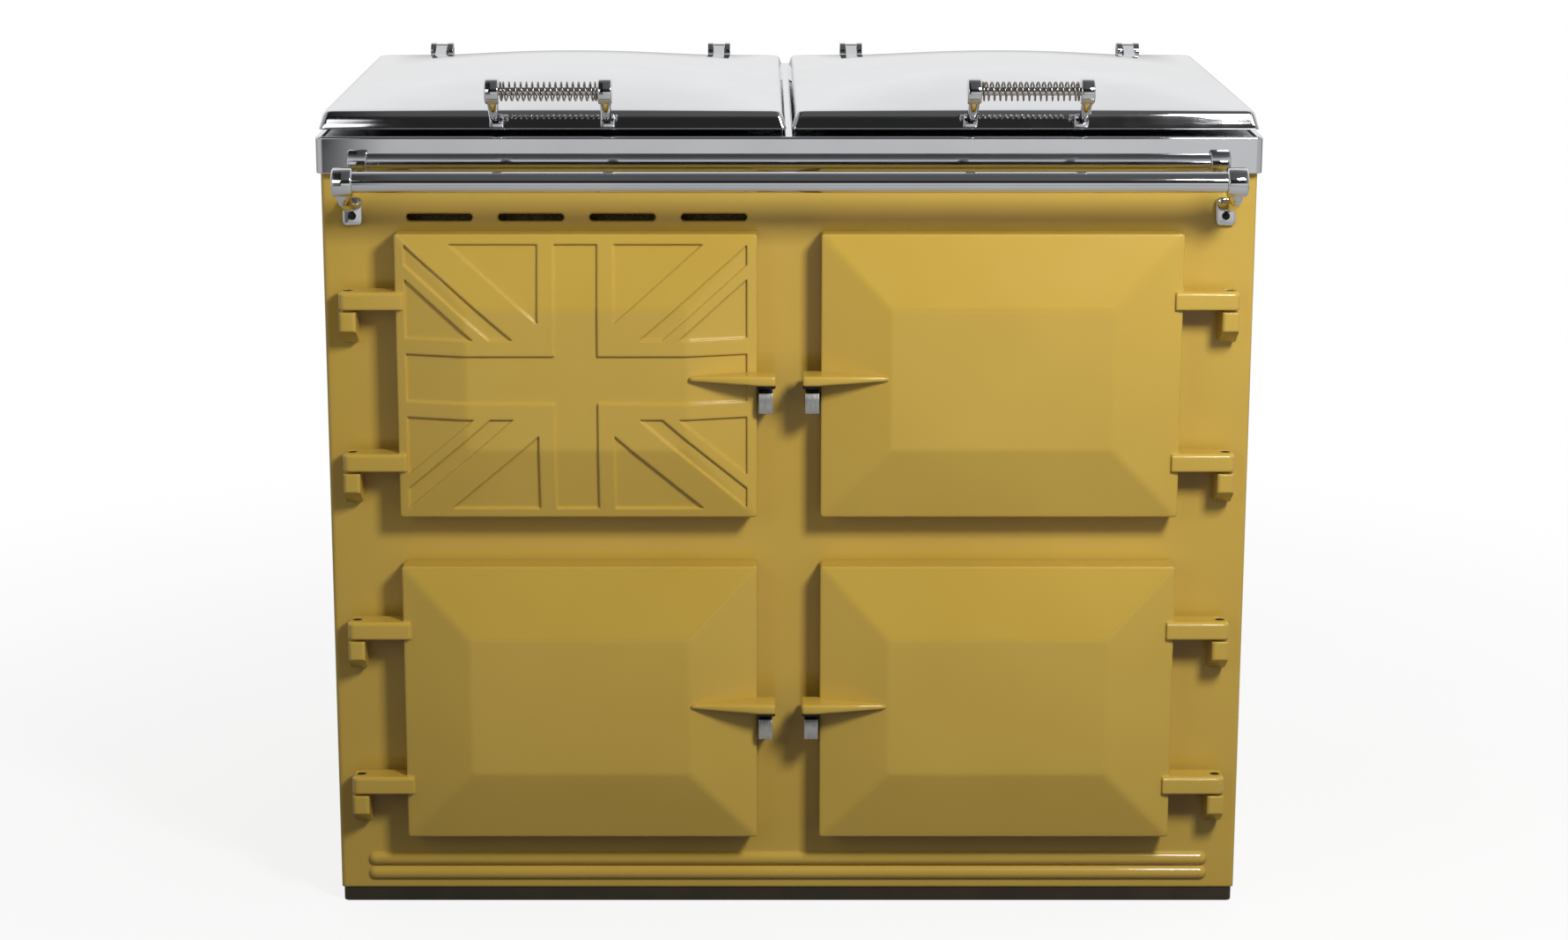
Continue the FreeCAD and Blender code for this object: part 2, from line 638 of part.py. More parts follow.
def seal_ring(z, y0, y1, grown):
    """A rounded rectangular ring round an opening, grown on both sides by a clearance."""
    inner, outer = SEAL_OUTSET - grown, SEAL_OUTSET + SEAL_WIDTH + grown
    ring = plate(OPENING_WIDTH + 2 * outer, OPENING_HEIGHT + 2 * outer, DOOR_X, z,
                 y0, y1, OPENING_CORNER + outer)
    return ring.cut(plate(OPENING_WIDTH + 2 * inner, OPENING_HEIGHT + 2 * inner, DOOR_X, z,
                          y0 - 1, y1 + 1, OPENING_CORNER + inner))


def liner_form(z, wall):
    """A liner's outer form, or the same form a wall smaller: a wide pan with a raised middle behind it."""
    gap = DOOR_WALL + FIT + wall
    back = DOOR_BACK - (SEAL_GROOVE if wall else 0) - wall
    pan = plate(DOOR_WIDTH - 2 * gap, DOOR_HEIGHT - 2 * gap, DOOR_X, z,
                DOOR_BACK - LINER_THICKNESS, back, 0 if wall else DOOR_CORNER)
    gap = SPIGOT_CLEARANCE + wall
    spigot = plate(OPENING_WIDTH - 2 * gap, OPENING_HEIGHT - 2 * gap, DOOR_X, z,
                   back, DOOR_BACK + SPIGOT_DEPTH - wall, 0 if wall else OPENING_CORNER - gap)
    return pan, spigot


def make_liner(z, with_groove):
    """Pressed pan that closes the door's back and fills its opening's mouth."""
    pan, spigot = liner_form(z, 0)
    edge = edges_where(spigot, lambda p: abs(p.y - DOOR_BACK - SPIGOT_DEPTH) < 1e-3)
    liner = fused([pan, spigot.makeChamfer(SPIGOT_EDGE, edge)])
    for hollow in liner_form(z, LINER_WALL):
        liner = liner.cut(hollow)
    if with_groove:
        liner = liner.cut(seal_ring(z, DOOR_BACK - SEAL_GROOVE, DOOR_BACK + 1, FIT))
    return liner


def make_seal(z):
    """Rope seal, seated in the liner's groove and standing out to the front plate."""
    ring = seal_ring(z, DOOR_BACK - SEAL_GROOVE, FRONT - FIT, 0)
    crown = edges_where(ring, lambda p: abs(p.y - FRONT + FIT) < 1e-3)
    return ring.makeChamfer(SEAL_EDGE, crown)


def handle_section(x, top, height, front, back):
    """One upright section of a handle's blade, square to the door's width."""
    return [V(x, back, top - height), V(x, front, top - height), V(x, front, top), V(x, back, top)]


def make_handle(z, form):
    """Enamelled cast blade that tapers across the door's bevel, with a thicker nose past its edge."""
    top = z + HANDLE_RISE
    x_edge = DOOR_SPACING / 2
    x_latch = x_edge - LATCH_OVERHANG
    front, back = FRONT - HANDLE_FRONT, FRONT - HANDLE_BACK
    blade = flat_sided(
        handle_section(x_edge, top, HANDLE_HEIGHT, front, back),
        handle_section(x_latch + HANDLE_LENGTH, top, HANDLE_TIP_HEIGHT, FLAT_FRONT - HANDLE_TIP_PROUD, back))
    nose = block((x_latch, front, top - HANDLE_NOSE_HEIGHT), (x_edge, back, top))
    handle = fused([blade, nose])
    soft = edges_where(handle, lambda p: (abs(p.z - top) < 1e-3
                                          and (p.y < FLAT_FRONT or p.x < x_latch + 1e-3))
                       or (abs(p.x - x_latch) < 1e-3 and abs(p.y - front) < 1e-3))
    handle = handle.makeChamfer(HANDLE_EDGE, soft)
    return handle.cut(form)


def latch_top(z):
    """Underside of a handle's nose."""
    return z + HANDLE_RISE - HANDLE_NOSE_HEIGHT


def make_latch(z):
    """Blackened steel latch under the handle's nose, its toe turned down over the catch."""
    z1 = latch_top(z)
    x0 = DOOR_SPACING / 2 - LATCH_OVERHANG + FIT
    front, back = FRONT - LATCH_FRONT, FRONT - LATCH_BACK
    toe = back - LATCH_TOE_DEPTH
    low = z1 - LATCH_HEIGHT
    outline = [V(x0, front, z1), V(x0, front + LATCH_HEIGHT / 2, low), V(x0, toe, low),
               V(x0, toe, low - LATCH_TOE_DROP), V(x0, back, low - LATCH_TOE_DROP), V(x0, back, z1)]
    return prism(outline, V(LATCH_OVERHANG - 2 * FIT, 0, 0))


def make_catch(z):
    """Steel catch on the front plate: a block with a bowed face under the latch's toe."""
    z1 = latch_top(z) - LATCH_HEIGHT - LATCH_TOE_DROP - CATCH_CLEARANCE
    z0 = z1 - CATCH_HEIGHT
    front = FRONT - CATCH_FRONT
    x1 = DOOR_SPACING / 2 - CATCH_SIDE_GAP
    bow = Part.Arc(V(x1, front + CATCH_BULGE, z0), V(x1, front, (z0 + z1) / 2),
                   V(x1, front + CATCH_BULGE, z1)).toShape()
    rest = Part.makePolygon([V(x1, front + CATCH_BULGE, z1), V(x1, FRONT, z1), V(x1, FRONT, z0),
                             V(x1, front + CATCH_BULGE, z0)])
    return Part.Face(Part.Wire([bow] + rest.Edges)).extrude(V(-CATCH_WIDTH, 0, 0))


def make_hinge_lug(z):
    """Cast lug on the front plate under one hinge arm: a pad round the pin and a corbelled foot."""
    top = z - ARM_HEIGHT / 2 - PAD_HEIGHT
    front, low = FRONT - LUG_FRONT, top - LUG_HEIGHT
    outline = [V(PIN_X, FRONT, top), V(PIN_X, front, top), V(PIN_X, front, low),
               V(PIN_X, FRONT - LUG_FOOT, low - LUG_CORBEL), V(PIN_X, FRONT, low - LUG_CORBEL)]
    lug = prism([p - V(LUG_WIDTH / 2, 0, 0) for p in outline], V(LUG_WIDTH, 0, 0))
    upright = edges_where(lug, lambda p: abs(p.y - front) < 1e-3 and abs(p.x - PIN_X) > LUG_WIDTH / 3)
    lug = lug.makeChamfer(LUG_EDGE, upright)
    pad = many_sided(V(PIN_X, PIN_Y, top), AXES["x"], AXES["y"], PAD_RADIUS, PAD_SIDES)
    lug = fused([lug, Part.Face(pad).extrude(V(0, 0, PAD_HEIGHT - FIT))])
    return lug.cut(rod((PIN_X, PIN_Y, top - LUG_BORE_DEPTH), (PIN_X, PIN_Y, z), PIN_RADIUS))


def make_hinge_pin(z):
    """Steel pin pressed into the lug, its top end sunk in the arm's bore."""
    low = z - ARM_HEIGHT / 2
    foot = low - PAD_HEIGHT - LUG_BORE_DEPTH
    return rod((PIN_X, PIN_Y, foot), (PIN_X, PIN_Y, low + ARM_HEIGHT - PIN_SUNK), PIN_RADIUS)


# ---- lids ------------------------------------------------------------------------------------------
def lid_crown(inset, y):
    """Height of the crown's ridge line over the skirt at one depth, nothing at the front and back."""
    middle = (LID_Y0 + LID_Y1) / 2
    half = LID_DEPTH / 2 - LID_SLOPE - inset
    share = min(1.0, abs(y - middle) / half)
    return LID_CROWN * (1 - share ** LID_CROWN_POWER)


def lid_body(inset, z0, z1):
    """A lid's outer form, or the same form a sheet's thickness smaller: leaning skirts under a crown."""
    step = inset + (z1 - LID_BOTTOM) * LID_SLOPE / LID_SKIRT
    x0, x1 = LID_X - LID_WIDTH / 2 + step, LID_X + LID_WIDTH / 2 - step
    y0, y1 = LID_Y0 + step, LID_Y1 - step
    sections = []
    least = 0.02
    for i in range(LID_STATIONS + 1):
        y = y0 + (y1 - y0) * (1 - math.cos(math.pi * i / LID_STATIONS)) / 2
        rise = max(lid_crown(inset, y), least)
        arch = Part.Arc(V(x0, y, z1), V((x0 + x1) / 2, y, z1 + rise), V(x1, y, z1)).toShape()
        sections.append(Part.Wire([arch, Part.makeLine(V(x1, y, z1), V(x0, y, z1))]))
    crown = Part.makeLoft(sections, True, False)
    return lid_slab(inset, z0, z1).fuse(crown)


def lid_lug_places():
    return [LID_X + sign * LID_HINGE_SPACING / 2 for sign in (-1, 1)]


def make_lid_shell():
    """Pressed, plated lid: leaning skirts and a low crowned top."""
    top = LID_BOTTOM + LID_SKIRT
    outside = lid_body(0, LID_BOTTOM, top)
    inside = lid_body(LID_SHEET, LID_BOTTOM - 1, top - LID_SHEET)
    return outside.cut(inside)


def lid_slab(inset, z0, z1):
    """A slab that follows the skirts' lean between two heights, set in from them all round."""
    rings = []
    for z in (z0, z1):
        step = inset + (z - LID_BOTTOM) * LID_SLOPE / LID_SKIRT
        x0, x1 = LID_X - LID_WIDTH / 2 + step, LID_X + LID_WIDTH / 2 - step
        y0, y1 = LID_Y0 + step, LID_Y1 - step
        rings.append([V(x0, y0, z), V(x1, y0, z), V(x1, y1, z), V(x0, y1, z)])
    return flat_sided(*rings)


def make_lid_liner():
    """Bright inner pan that closes the lid's underside over the insulation."""
    inset = LID_SHEET + LID_LINER_GAP
    low = LID_BOTTOM + LID_LINER_RAISE
    top = low + LID_LINER_RIM
    pan = lid_slab(inset, low, top)
    return pan.cut(lid_slab(inset + LID_LINER, low + LID_LINER, top + 1))


def make_lid_lugs():
    """Hinge lugs screwed to the lid's back skirt, each with its bore."""
    skirt = lid_slab(0, LID_BOTTOM, LID_BOTTOM + LID_SKIRT)
    lugs = []
    for x in lid_lug_places():
        x0, x1 = x - LID_LUG_WIDTH / 2, x + LID_LUG_WIDTH / 2
        eye = rod((x0, LID_PIN_Y, LID_PIN_Z), (x1, LID_PIN_Y, LID_PIN_Z), LID_LUG_RADIUS)
        root_low, root_high = LID_BOTTOM + LID_SHEET, LID_BOTTOM + LID_SKIRT - LID_SHEET
        y = LID_Y1 - 2 * LID_SLOPE
        outline = [V(x0, y, root_low), V(x0, LID_PIN_Y, LID_PIN_Z - LID_LUG_RADIUS),
                   V(x0, LID_PIN_Y, LID_PIN_Z + LID_LUG_RADIUS), V(x0, y, root_high)]
        lug = fused([eye, prism(outline, V(LID_LUG_WIDTH, 0, 0))])
        lug = lug.cut(skirt)
        lugs.append(lug.cut(rod((x0 - 1, LID_PIN_Y, LID_PIN_Z), (x1 + 1, LID_PIN_Y, LID_PIN_Z),
                                LID_PIN_RADIUS + PIN_CLEARANCE)))
    return lugs


def make_lid_bracket(x):
    """Plated fork on the top plate that holds one lid pin."""
    half, y = LID_BRACKET_WIDTH / 2, LID_PIN_Y
    slot_half = LID_LUG_WIDTH / 2 + SIDE_PLAY
    base_top = TOP_SURFACE + LID_BRACKET_BASE
    r = LID_BRACKET_RADIUS
    cheeks = fused([
        rod((x - half, y, LID_PIN_Z), (x + half, y, LID_PIN_Z), r),
        block((x - half, y - r, TOP_SURFACE), (x + half, y + r, LID_PIN_Z)),
    ])
    base = block((x - half, y - r, TOP_SURFACE), (x + half, y - r + LID_BRACKET_LENGTH, base_top))
    bracket = fused([cheeks, base])
    reach = 2 * r
    bracket = bracket.cut(block((x - slot_half, y - reach, base_top),
                                (x + slot_half, y + reach, LID_PIN_Z + reach)))
    return bracket.cut(rod((x - half - 1, y, LID_PIN_Z), (x + half + 1, y, LID_PIN_Z), LID_PIN_RADIUS))


def make_lid_pin(x):
    half = LID_BRACKET_WIDTH / 2
    return rod((x - half, LID_PIN_Y, LID_PIN_Z), (x + half, LID_PIN_Y, LID_PIN_Z), LID_PIN_RADIUS)


# ---- sprung handles --------------------------------------------------------------------------------
def many_sided(centre, across, upward, radius, sides):
    """A regular outline round a point, in the plane of two directions, one side up."""
    corners = []
    for k in range(sides):
        angle = 2 * math.pi * (k + 0.5) / sides
        corners.append(centre + (across * math.cos(angle) + upward * math.sin(angle)) * radius)
    return Part.makePolygon(corners + corners[:1])


def curved_arm(start, middle, end, radius):
    """An eight-sided arm swept along one arc in the plane across the cooker."""
    path = Part.Wire([Part.Arc(V(*start), V(*middle), V(*end)).toShape()])
    tangent = path.Edges[0].tangentAt(path.Edges[0].FirstParameter)
    across = V(1, 0, 0)
    ring = many_sided(V(*start), across, tangent.cross(across), radius, GRIP_ARM_SIDES)
    return path.makePipeShell([ring], True, False)


def grip_bracket(x):
    """One plated bracket: a foot on the skirt, a curved arm and the cap that holds the rod."""
    half = GRIP_CAP_LENGTH / 2
    cap = rod((x - half, GRIP_Y, GRIP_Z), (x + half, GRIP_Y, GRIP_Z), GRIP_CAP_RADIUS)
    foot_z = LID_BOTTOM + LID_SKIRT / 2
    foot_y = LID_Y0 - GRIP_FOOT_THICKNESS
    foot = block((x - GRIP_FOOT_WIDTH / 2, foot_y, foot_z - GRIP_FOOT_HEIGHT / 2),
                 (x + GRIP_FOOT_WIDTH / 2, LID_Y0 + LID_SLOPE, foot_z + GRIP_FOOT_HEIGHT / 2),
                 GRIP_FOOT_CORNER, "y")
    back, up = GRIP_ARM_BOW
    arm = curved_arm((x, foot_y + 1, foot_z + 1),
                     (x, (foot_y + GRIP_Y) / 2 + back, (foot_z + GRIP_Z) / 2 + up),
                     (x, GRIP_Y, GRIP_Z - GRIP_CAP_RADIUS / 2), GRIP_ARM_RADIUS)
    return fused([cap, arm, foot])


def grip_half_span():
    """Lid middle to the middle of one cap."""
    return GRIP_LENGTH / 2 - GRIP_CAP_LENGTH / 2


def make_grip_brackets():
    skirt = lid_slab(0, LID_BOTTOM, LID_BOTTOM + LID_SKIRT)
    brackets = []
    for sign in (-1, 1):
        x = LID_X + sign * grip_half_span()
        bracket = grip_bracket(x).cut(skirt)
        inner = x - sign * GRIP_CAP_LENGTH / 2
        socket = rod((inner - sign, GRIP_Y, GRIP_Z), (inner + sign * GRIP_ROD_SOCKET, GRIP_Y, GRIP_Z),
                     GRIP_ROD_RADIUS)
        brackets.append(bracket.cut(socket))
    return brackets


def make_grip_rod():
    half = grip_half_span() - GRIP_CAP_LENGTH / 2 + GRIP_ROD_SOCKET
    return rod((LID_X - half, GRIP_Y, GRIP_Z), (LID_X + half, GRIP_Y, GRIP_Z), GRIP_ROD_RADIUS)


def arc_from(start, end, tangent):
    """The arc between two points that leaves the first one along a tangent."""
    chord = end - start
    along = V(chord).normalize()
    side = tangent - along * tangent.dot(along)
    angle = math.asin(min(1.0, side.Length))
    rise = chord.Length / 2 * math.tan(angle / 2)
    return Part.Arc(start, (start + end) / 2 + V(side).normalize() * rise, end).toShape()


def biarc(p0, t0, p1, t1):
    """Two arcs that leave p0 along t0 and reach p1 along t1."""
    gap, both = p1 - p0, t0 + t1
    lean = 2 * (1 - t0.dot(t1))
    reach = gap.dot(both)
    d = (math.sqrt(reach ** 2 + lean * gap.dot(gap)) - reach) / lean
    joint = (p0 + p1 + (t0 - t1) * d) / 2
    middle = (joint - p0 - t0 * d).normalize()
    return [arc_from(p0, joint, t0), arc_from(joint, p1, middle)]


def make_spring(x_middle):
    """Cover spring round the rod: one unbroken wire from cap to cap."""
    half = grip_half_span() - GRIP_CAP_LENGTH / 2 - SPRING_WIRE / 2 - SPRING_END_GAP
    pitch = 2 * half / SPRING_TURNS
    steps = 4 * SPRING_TURNS

    def place(i):
        angle = math.pi / 2 * i
        return V(x_middle - half + pitch * i / 4,
                 GRIP_Y + SPRING_RADIUS * math.cos(angle), GRIP_Z + SPRING_RADIUS * math.sin(angle))

    def heading(i):
        angle = math.pi / 2 * i
        turn = math.pi / 2 * SPRING_RADIUS
        return V(pitch / 4, -turn * math.sin(angle), turn * math.cos(angle)).normalize()

    arcs = []
    for i in range(steps):
        arcs += biarc(place(i), heading(i), place(i + 1), heading(i + 1))
    path = Part.Wire(arcs)
    start, along = place(0), heading(0)
    across = V(0, 1, 0) - along * along.y
    across.normalize()
    upward = along.cross(across)
    ring = many_sided(start, across, upward, SPRING_WIRE / 2, SPRING_SIDES)
    spring = path.makePipeShell([ring], True, False)
    per_turn = 32
    samples = [place(4 * i / per_turn) for i in range(per_turn * SPRING_TURNS)]
    return spring, spring_gap(samples, per_turn)


def spring_gap(samples, per_turn):
    """Least distance between the wire's surface in one turn and the next, from points on its middle line."""
    nearest = min((samples[i] - samples[j]).Length
                  for i in range(per_turn) for j in range(i + per_turn // 2, len(samples)))
    return nearest - SPRING_WIRE


# ---- handrail --------------------------------------------------------------------------------------
def make_handrail():
    """Plated tube, its ends seated in the brackets' caps."""
    half = RAIL_CAP_OUTER - RAIL_CAP_LENGTH + RAIL_SOCKET
    tube = rod((-half, RAIL_Y, RAIL_HEIGHT), (half, RAIL_Y, RAIL_HEIGHT), RAIL_RADIUS)
    bore = RAIL_RADIUS - RAIL_WALL
    return tube.cut(rod((-half - 1, RAIL_Y, RAIL_HEIGHT), (half + 1, RAIL_Y, RAIL_HEIGHT), bore))


def make_rail_bracket():
    """Plated bracket: a foot plate on the enamel, a curved arm and the cap round the rail's end."""
    x0, x1 = RAIL_CAP_OUTER - RAIL_CAP_LENGTH, RAIL_CAP_OUTER
    x = (x0 + x1) / 2
    cap = rod((x0, RAIL_Y, RAIL_HEIGHT), (x1, RAIL_Y, RAIL_HEIGHT), RAIL_CAP_RADIUS)
    z0, z1 = RAIL_FOOT_LOW, RAIL_FOOT_LOW + RAIL_FOOT_HEIGHT
    foot_front = FRONT - RAIL_FOOT_THICKNESS
    foot = block((x - RAIL_FOOT_WIDTH / 2, foot_front, z0), (x + RAIL_FOOT_WIDTH / 2, FRONT, z1))
    low = edges_where(foot, lambda p: abs(p.z - z0) < 1e-3 and abs(abs(p.x - x) - RAIL_FOOT_WIDTH / 2) < 1e-3)
    foot = foot.makeFillet(RAIL_FOOT_CORNER, low)
    arm_z = z1 - RAIL_ARM_RADIUS - 1
    arm = curved_arm((x, foot_front + 1, arm_z),
                     (x, (RAIL_Y + foot_front) / 2 - RAIL_ARM_BOW, arm_z + RAIL_ARM_BOW),
                     (x, RAIL_Y, RAIL_HEIGHT - RAIL_CAP_RADIUS / 2), RAIL_ARM_RADIUS)
    bracket = fused([cap, arm, foot])
    socket = rod((x0 - 1, RAIL_Y, RAIL_HEIGHT), (x0 + RAIL_SOCKET, RAIL_Y, RAIL_HEIGHT), RAIL_RADIUS)
    return bracket.cut(socket)


# ---- ovens and controls ----------------------------------------------------------------------------
def oven_span(z):
    """Lowest and highest point of an oven casting's box."""
    half = CAVITY_HEIGHT / 2 + OVEN_WALL
    return z - half, z + half


def foot_places():
    """Where an oven's feet stand, from its own middle line."""
    x = CAVITY_WIDTH / 2 - OVEN_FOOT_INSET
    y0 = FRONT_INSIDE + OVEN_FOOT_INSET
    y1 = FRONT_INSIDE + OVEN_DEPTH - OVEN_FOOT_INSET
    return [(DOOR_X + sx * x, y) for sx in (-1, 1) for y in (y0, y1)]


def oven_feet(z, floor, grown=0.0):
    """The four square feet under an oven, or the spaces that clear them."""
    low, half = oven_span(z)[0], OVEN_FOOT_WIDTH / 2 + grown
    return [block((x - half, y - half, floor), (x + half, y + half, low + OVEN_WALL / 2))
            for x, y in foot_places()]


def make_oven(z, floor):
    """Cast oven: a box open at the front, with a mouth flange, shelf runners and feet."""
    y0, y1 = FRONT_INSIDE, FRONT_INSIDE + OVEN_DEPTH
    t = OVEN_WALL
    shell = plate(CAVITY_WIDTH + 2 * t, CAVITY_HEIGHT + 2 * t, DOOR_X, z, y0, y1, OPENING_CORNER + t)
    flange = plate(CAVITY_WIDTH + 2 * t + 2 * OVEN_FLANGE, CAVITY_HEIGHT + 2 * t + 2 * OVEN_FLANGE, DOOR_X, z,
                   y0, y0 + OVEN_FLANGE_THICKNESS, OPENING_CORNER)
    oven = fused([shell, flange] + oven_feet(z, floor))
    oven = oven.cut(plate(CAVITY_WIDTH, CAVITY_HEIGHT, DOOR_X, z, y0 - 1, y1 - t, OPENING_CORNER))
    runners = []
    for i in range(RUNNER_COUNT):
        low = runner_height(z, i)
        for sx in (-1, 1):
            wall = DOOR_X + sx * CAVITY_WIDTH / 2
            xs = sorted([wall, wall - sx * RUNNER_PROUD])
            runners.append(block((xs[0], y1 - t - RUNNER_LENGTH, low), (xs[1], y1 - t, low + RUNNER_HEIGHT)))
    return fused([oven] + runners)


def runner_height(z, i):
    """Underside of one pair of shelf runners, counted from the lowest."""
    middle = (RUNNER_COUNT - 1) / 2
    return z + (i - middle) * RUNNER_PITCH - RUNNER_HEIGHT


def make_shelf(z):
    """Grid shelf lying on the middle runners: a flat-bar frame with slats across it."""
    low = runner_height(z, 1) + RUNNER_HEIGHT
    half = CAVITY_WIDTH / 2 - 2 * FIT
    y1 = FRONT_INSIDE + OVEN_DEPTH - OVEN_WALL - FIT
    y0 = y1 - SHELF_DEPTH
    b = SHELF_BAR
    frame = block((DOOR_X - half, y0, low), (DOOR_X + half, y1, low + b))
    frame = frame.cut(block((DOOR_X - half + b, y0 + b, low - 1), (DOOR_X + half - b, y1 - b, low + b + 1)))
    pitch = (2 * half - b) / (SHELF_SLATS + 1)
    slats = []
    for i in range(SHELF_SLATS):
        x = DOOR_X - half + b / 2 + (i + 1) * pitch
        slats.append(block((x - SHELF_SLAT / 2, y0 + b, low), (x + SHELF_SLAT / 2, y1 - b, low + b)))
    return fused([frame] + slats)


def make_control_box():
    """Steel case behind the upper left opening, with a stop ring that the control panel screws to."""
    t = CONTROL_SHEET
    y0, y1 = FRONT_INSIDE, FRONT_INSIDE + CONTROL_DEPTH
    w, h = CAVITY_WIDTH + 2 * t, CAVITY_HEIGHT + 2 * t
    case = plate(w, h, DOOR_X, UPPER_Z, y0, y1, OPENING_CORNER + t)
    flange = plate(w + 2 * OVEN_FLANGE, h + 2 * OVEN_FLANGE, DOOR_X, UPPER_Z, y0, y0 + t, OPENING_CORNER)
    box = fused([case, flange])
    box = box.cut(plate(CAVITY_WIDTH, CAVITY_HEIGHT, DOOR_X, UPPER_Z, y0 - 1, y1 - t, OPENING_CORNER))
    stop = control_panel_face() + CONTROL_PANEL_THICKNESS
    ring = plate(CAVITY_WIDTH, CAVITY_HEIGHT, DOOR_X, UPPER_Z, stop, stop + t, OPENING_CORNER)
    inner = 2 * CONTROL_STOP
    ring = ring.cut(plate(CAVITY_WIDTH - inner, CAVITY_HEIGHT - inner, DOOR_X, UPPER_Z,
                          stop - 1, stop + t + 1, t))
    return fused([box, ring])


def control_panel_face():
    """Front of the control panel."""
    return FRONT + CONTROL_PANEL_SETBACK


def knob_places():
    return [DOOR_X + i * KNOB_PITCH for i in (-1, 0, 1)]


def make_control_panel():
    """Enamelled steel panel with a hole for each spindle."""
    y0 = control_panel_face()
    y1 = y0 + CONTROL_PANEL_THICKNESS
    panel = plate(CAVITY_WIDTH - 2 * FIT, CAVITY_HEIGHT - 2 * FIT, DOOR_X, UPPER_Z, y0, y1, OPENING_CORNER)
    for x in knob_places():
        panel = panel.cut(rod((x, y0 - 1, UPPER_Z), (x, y1 + 1, UPPER_Z), SPINDLE_RADIUS + PIN_CLEARANCE))
    return panel


def make_knob(x):
    """Fluted control knob on its spindle, with a raised pointer."""
    y1 = control_panel_face() - KNOB_STANDOFF
    y0 = y1 - KNOB_LENGTH
    base = many_sided(V(x, y1, UPPER_Z), AXES["x"], AXES["z"], KNOB_RADIUS, KNOB_SIDES)
    body = Part.Face(base).extrude(V(0, -KNOB_LENGTH, 0))
    body = body.makeChamfer(KNOB_EDGE, edges_where(body, lambda p: abs(p.y - y0) < 1e-3))
    g = KNOB_POINTER_WIDTH / 2
    pointer = block((x - g, y0 - KNOB_POINTER_PROUD, UPPER_Z - g),
                    (x + g, y0 + 1, UPPER_Z + KNOB_RADIUS - 2 * KNOB_EDGE))
    spindle = rod((x, y1 - 1, UPPER_Z), (x, y1 + SPINDLE_LENGTH, UPPER_Z), SPINDLE_RADIUS)
    return fused([body, pointer, spindle])


def make_insulation():
    """Packed mineral wool round the ovens and the control box, in one block with their spaces cut out."""
    x = HALF_WIDTH - PANEL_HEM - FIT
    y0 = FRONT + FRONT_RETURN + FIT
    y1 = back_panel_face() - PANEL_SHEET - GLAND_NUT - FIT
    z1 = BODY_TOP - PANEL_SHEET - FIT
    wool = block((-x, y0, BASE_TOP + FIT), (x, y1, z1))
    pockets = []
    t = OVEN_WALL + FIT
    stacked = oven_span(LOWER_Z)[1]
    for side, z, floor in ((1, UPPER_Z, stacked), (1, LOWER_Z, BASE_TOP), (-1, LOWER_Z, BASE_TOP)):
        room = plate(CAVITY_WIDTH + 2 * t, CAVITY_HEIGHT + 2 * t, DOOR_X, z, y0 - 1,
                     FRONT_INSIDE + OVEN_DEPTH + FIT, 0)
        pockets += [on_side(room, side)]
        pockets += [on_side(foot, side) for foot in oven_feet(z, floor, FIT)]
    t = CONTROL_SHEET + FIT
    room = plate(CAVITY_WIDTH + 2 * t, CAVITY_HEIGHT + 2 * t, DOOR_X, UPPER_Z, y0 - 1,
                 FRONT_INSIDE + CONTROL_DEPTH + FIT, 0)
    pockets.append(mirrored(room))
    for pocket in pockets:
        wool = wool.cut(pocket)
    return wool


# ---- the whole cooker ------------------------------------------------------------------------------
DOORS = [
    ("control_door", -1, UPPER_Z),
    ("roasting_door", 1, UPPER_Z),
    ("simmering_door", -1, LOWER_Z),
    ("baking_door", 1, LOWER_Z),
]


def build_body():
    save("plinth", make_plinth())
    save("base_plate", make_base_plate())
    save("front_plate", make_front_plate())
    panel = make_side_panel()
    save("right_side_panel", panel)
    save("left_side_panel", mirrored(panel))
    save("back_panel", make_back_panel())
    save("cable_gland", make_cable_gland())
    save("top_plate", make_top_plate())
    save("boiling_plate", make_hotplate(-LID_X))
    save("simmering_plate", make_hotplate(LID_X))
    save("heating_elements", make_heating_elements())
    bracket = make_rail_bracket()
    save("handrail", make_handrail())
    save("rail_brackets", [bracket, mirrored(bracket)])


def build_ovens():
    lower_top = oven_span(LOWER_Z)[1]
    save("roasting_oven", make_oven(UPPER_Z, lower_top))
    lower = make_oven(LOWER_Z, BASE_TOP)
    save("baking_oven", lower)
    save("simmering_oven", mirrored(lower))
    shelf = make_shelf(LOWER_Z)
    save("oven_shelves", [make_shelf(UPPER_Z), shelf, mirrored(shelf)])
    save("control_box", mirrored(make_control_box()))
    save("control_panel", mirrored(make_control_panel()))
    for name, x in zip(("simmering_knob", "oven_knob", "boiling_knob"), knob_places()):
        save(name, mirrored(make_knob(x)))
    save("insulation", make_insulation())


def build_doors():
    lugs, pins, catches = [], [], []
    for name, side, z in DOORS:
        plain = name != "control_door"
        form = door_form(z, with_relief=not plain)
        save(name, on_side(make_door(z, form), side))
        save(name + "_handle", on_side(make_handle(z, form), side))
        save(name + "_latch", on_side(make_latch(z), side))
        save(name + "_liner", on_side(make_liner(z, plain), side))
        if plain:
            save(name + "_seal", on_side(make_seal(z), side))
        for h in arm_heights(z):
            lugs.append(on_side(make_hinge_lug(h), side))
            pins.append(on_side(make_hinge_pin(h), side))
        catches.append(on_side(make_catch(z), side))
    save("hinge_lugs", lugs)
    save("hinge_pins", pins)
    save("door_catches", catches)


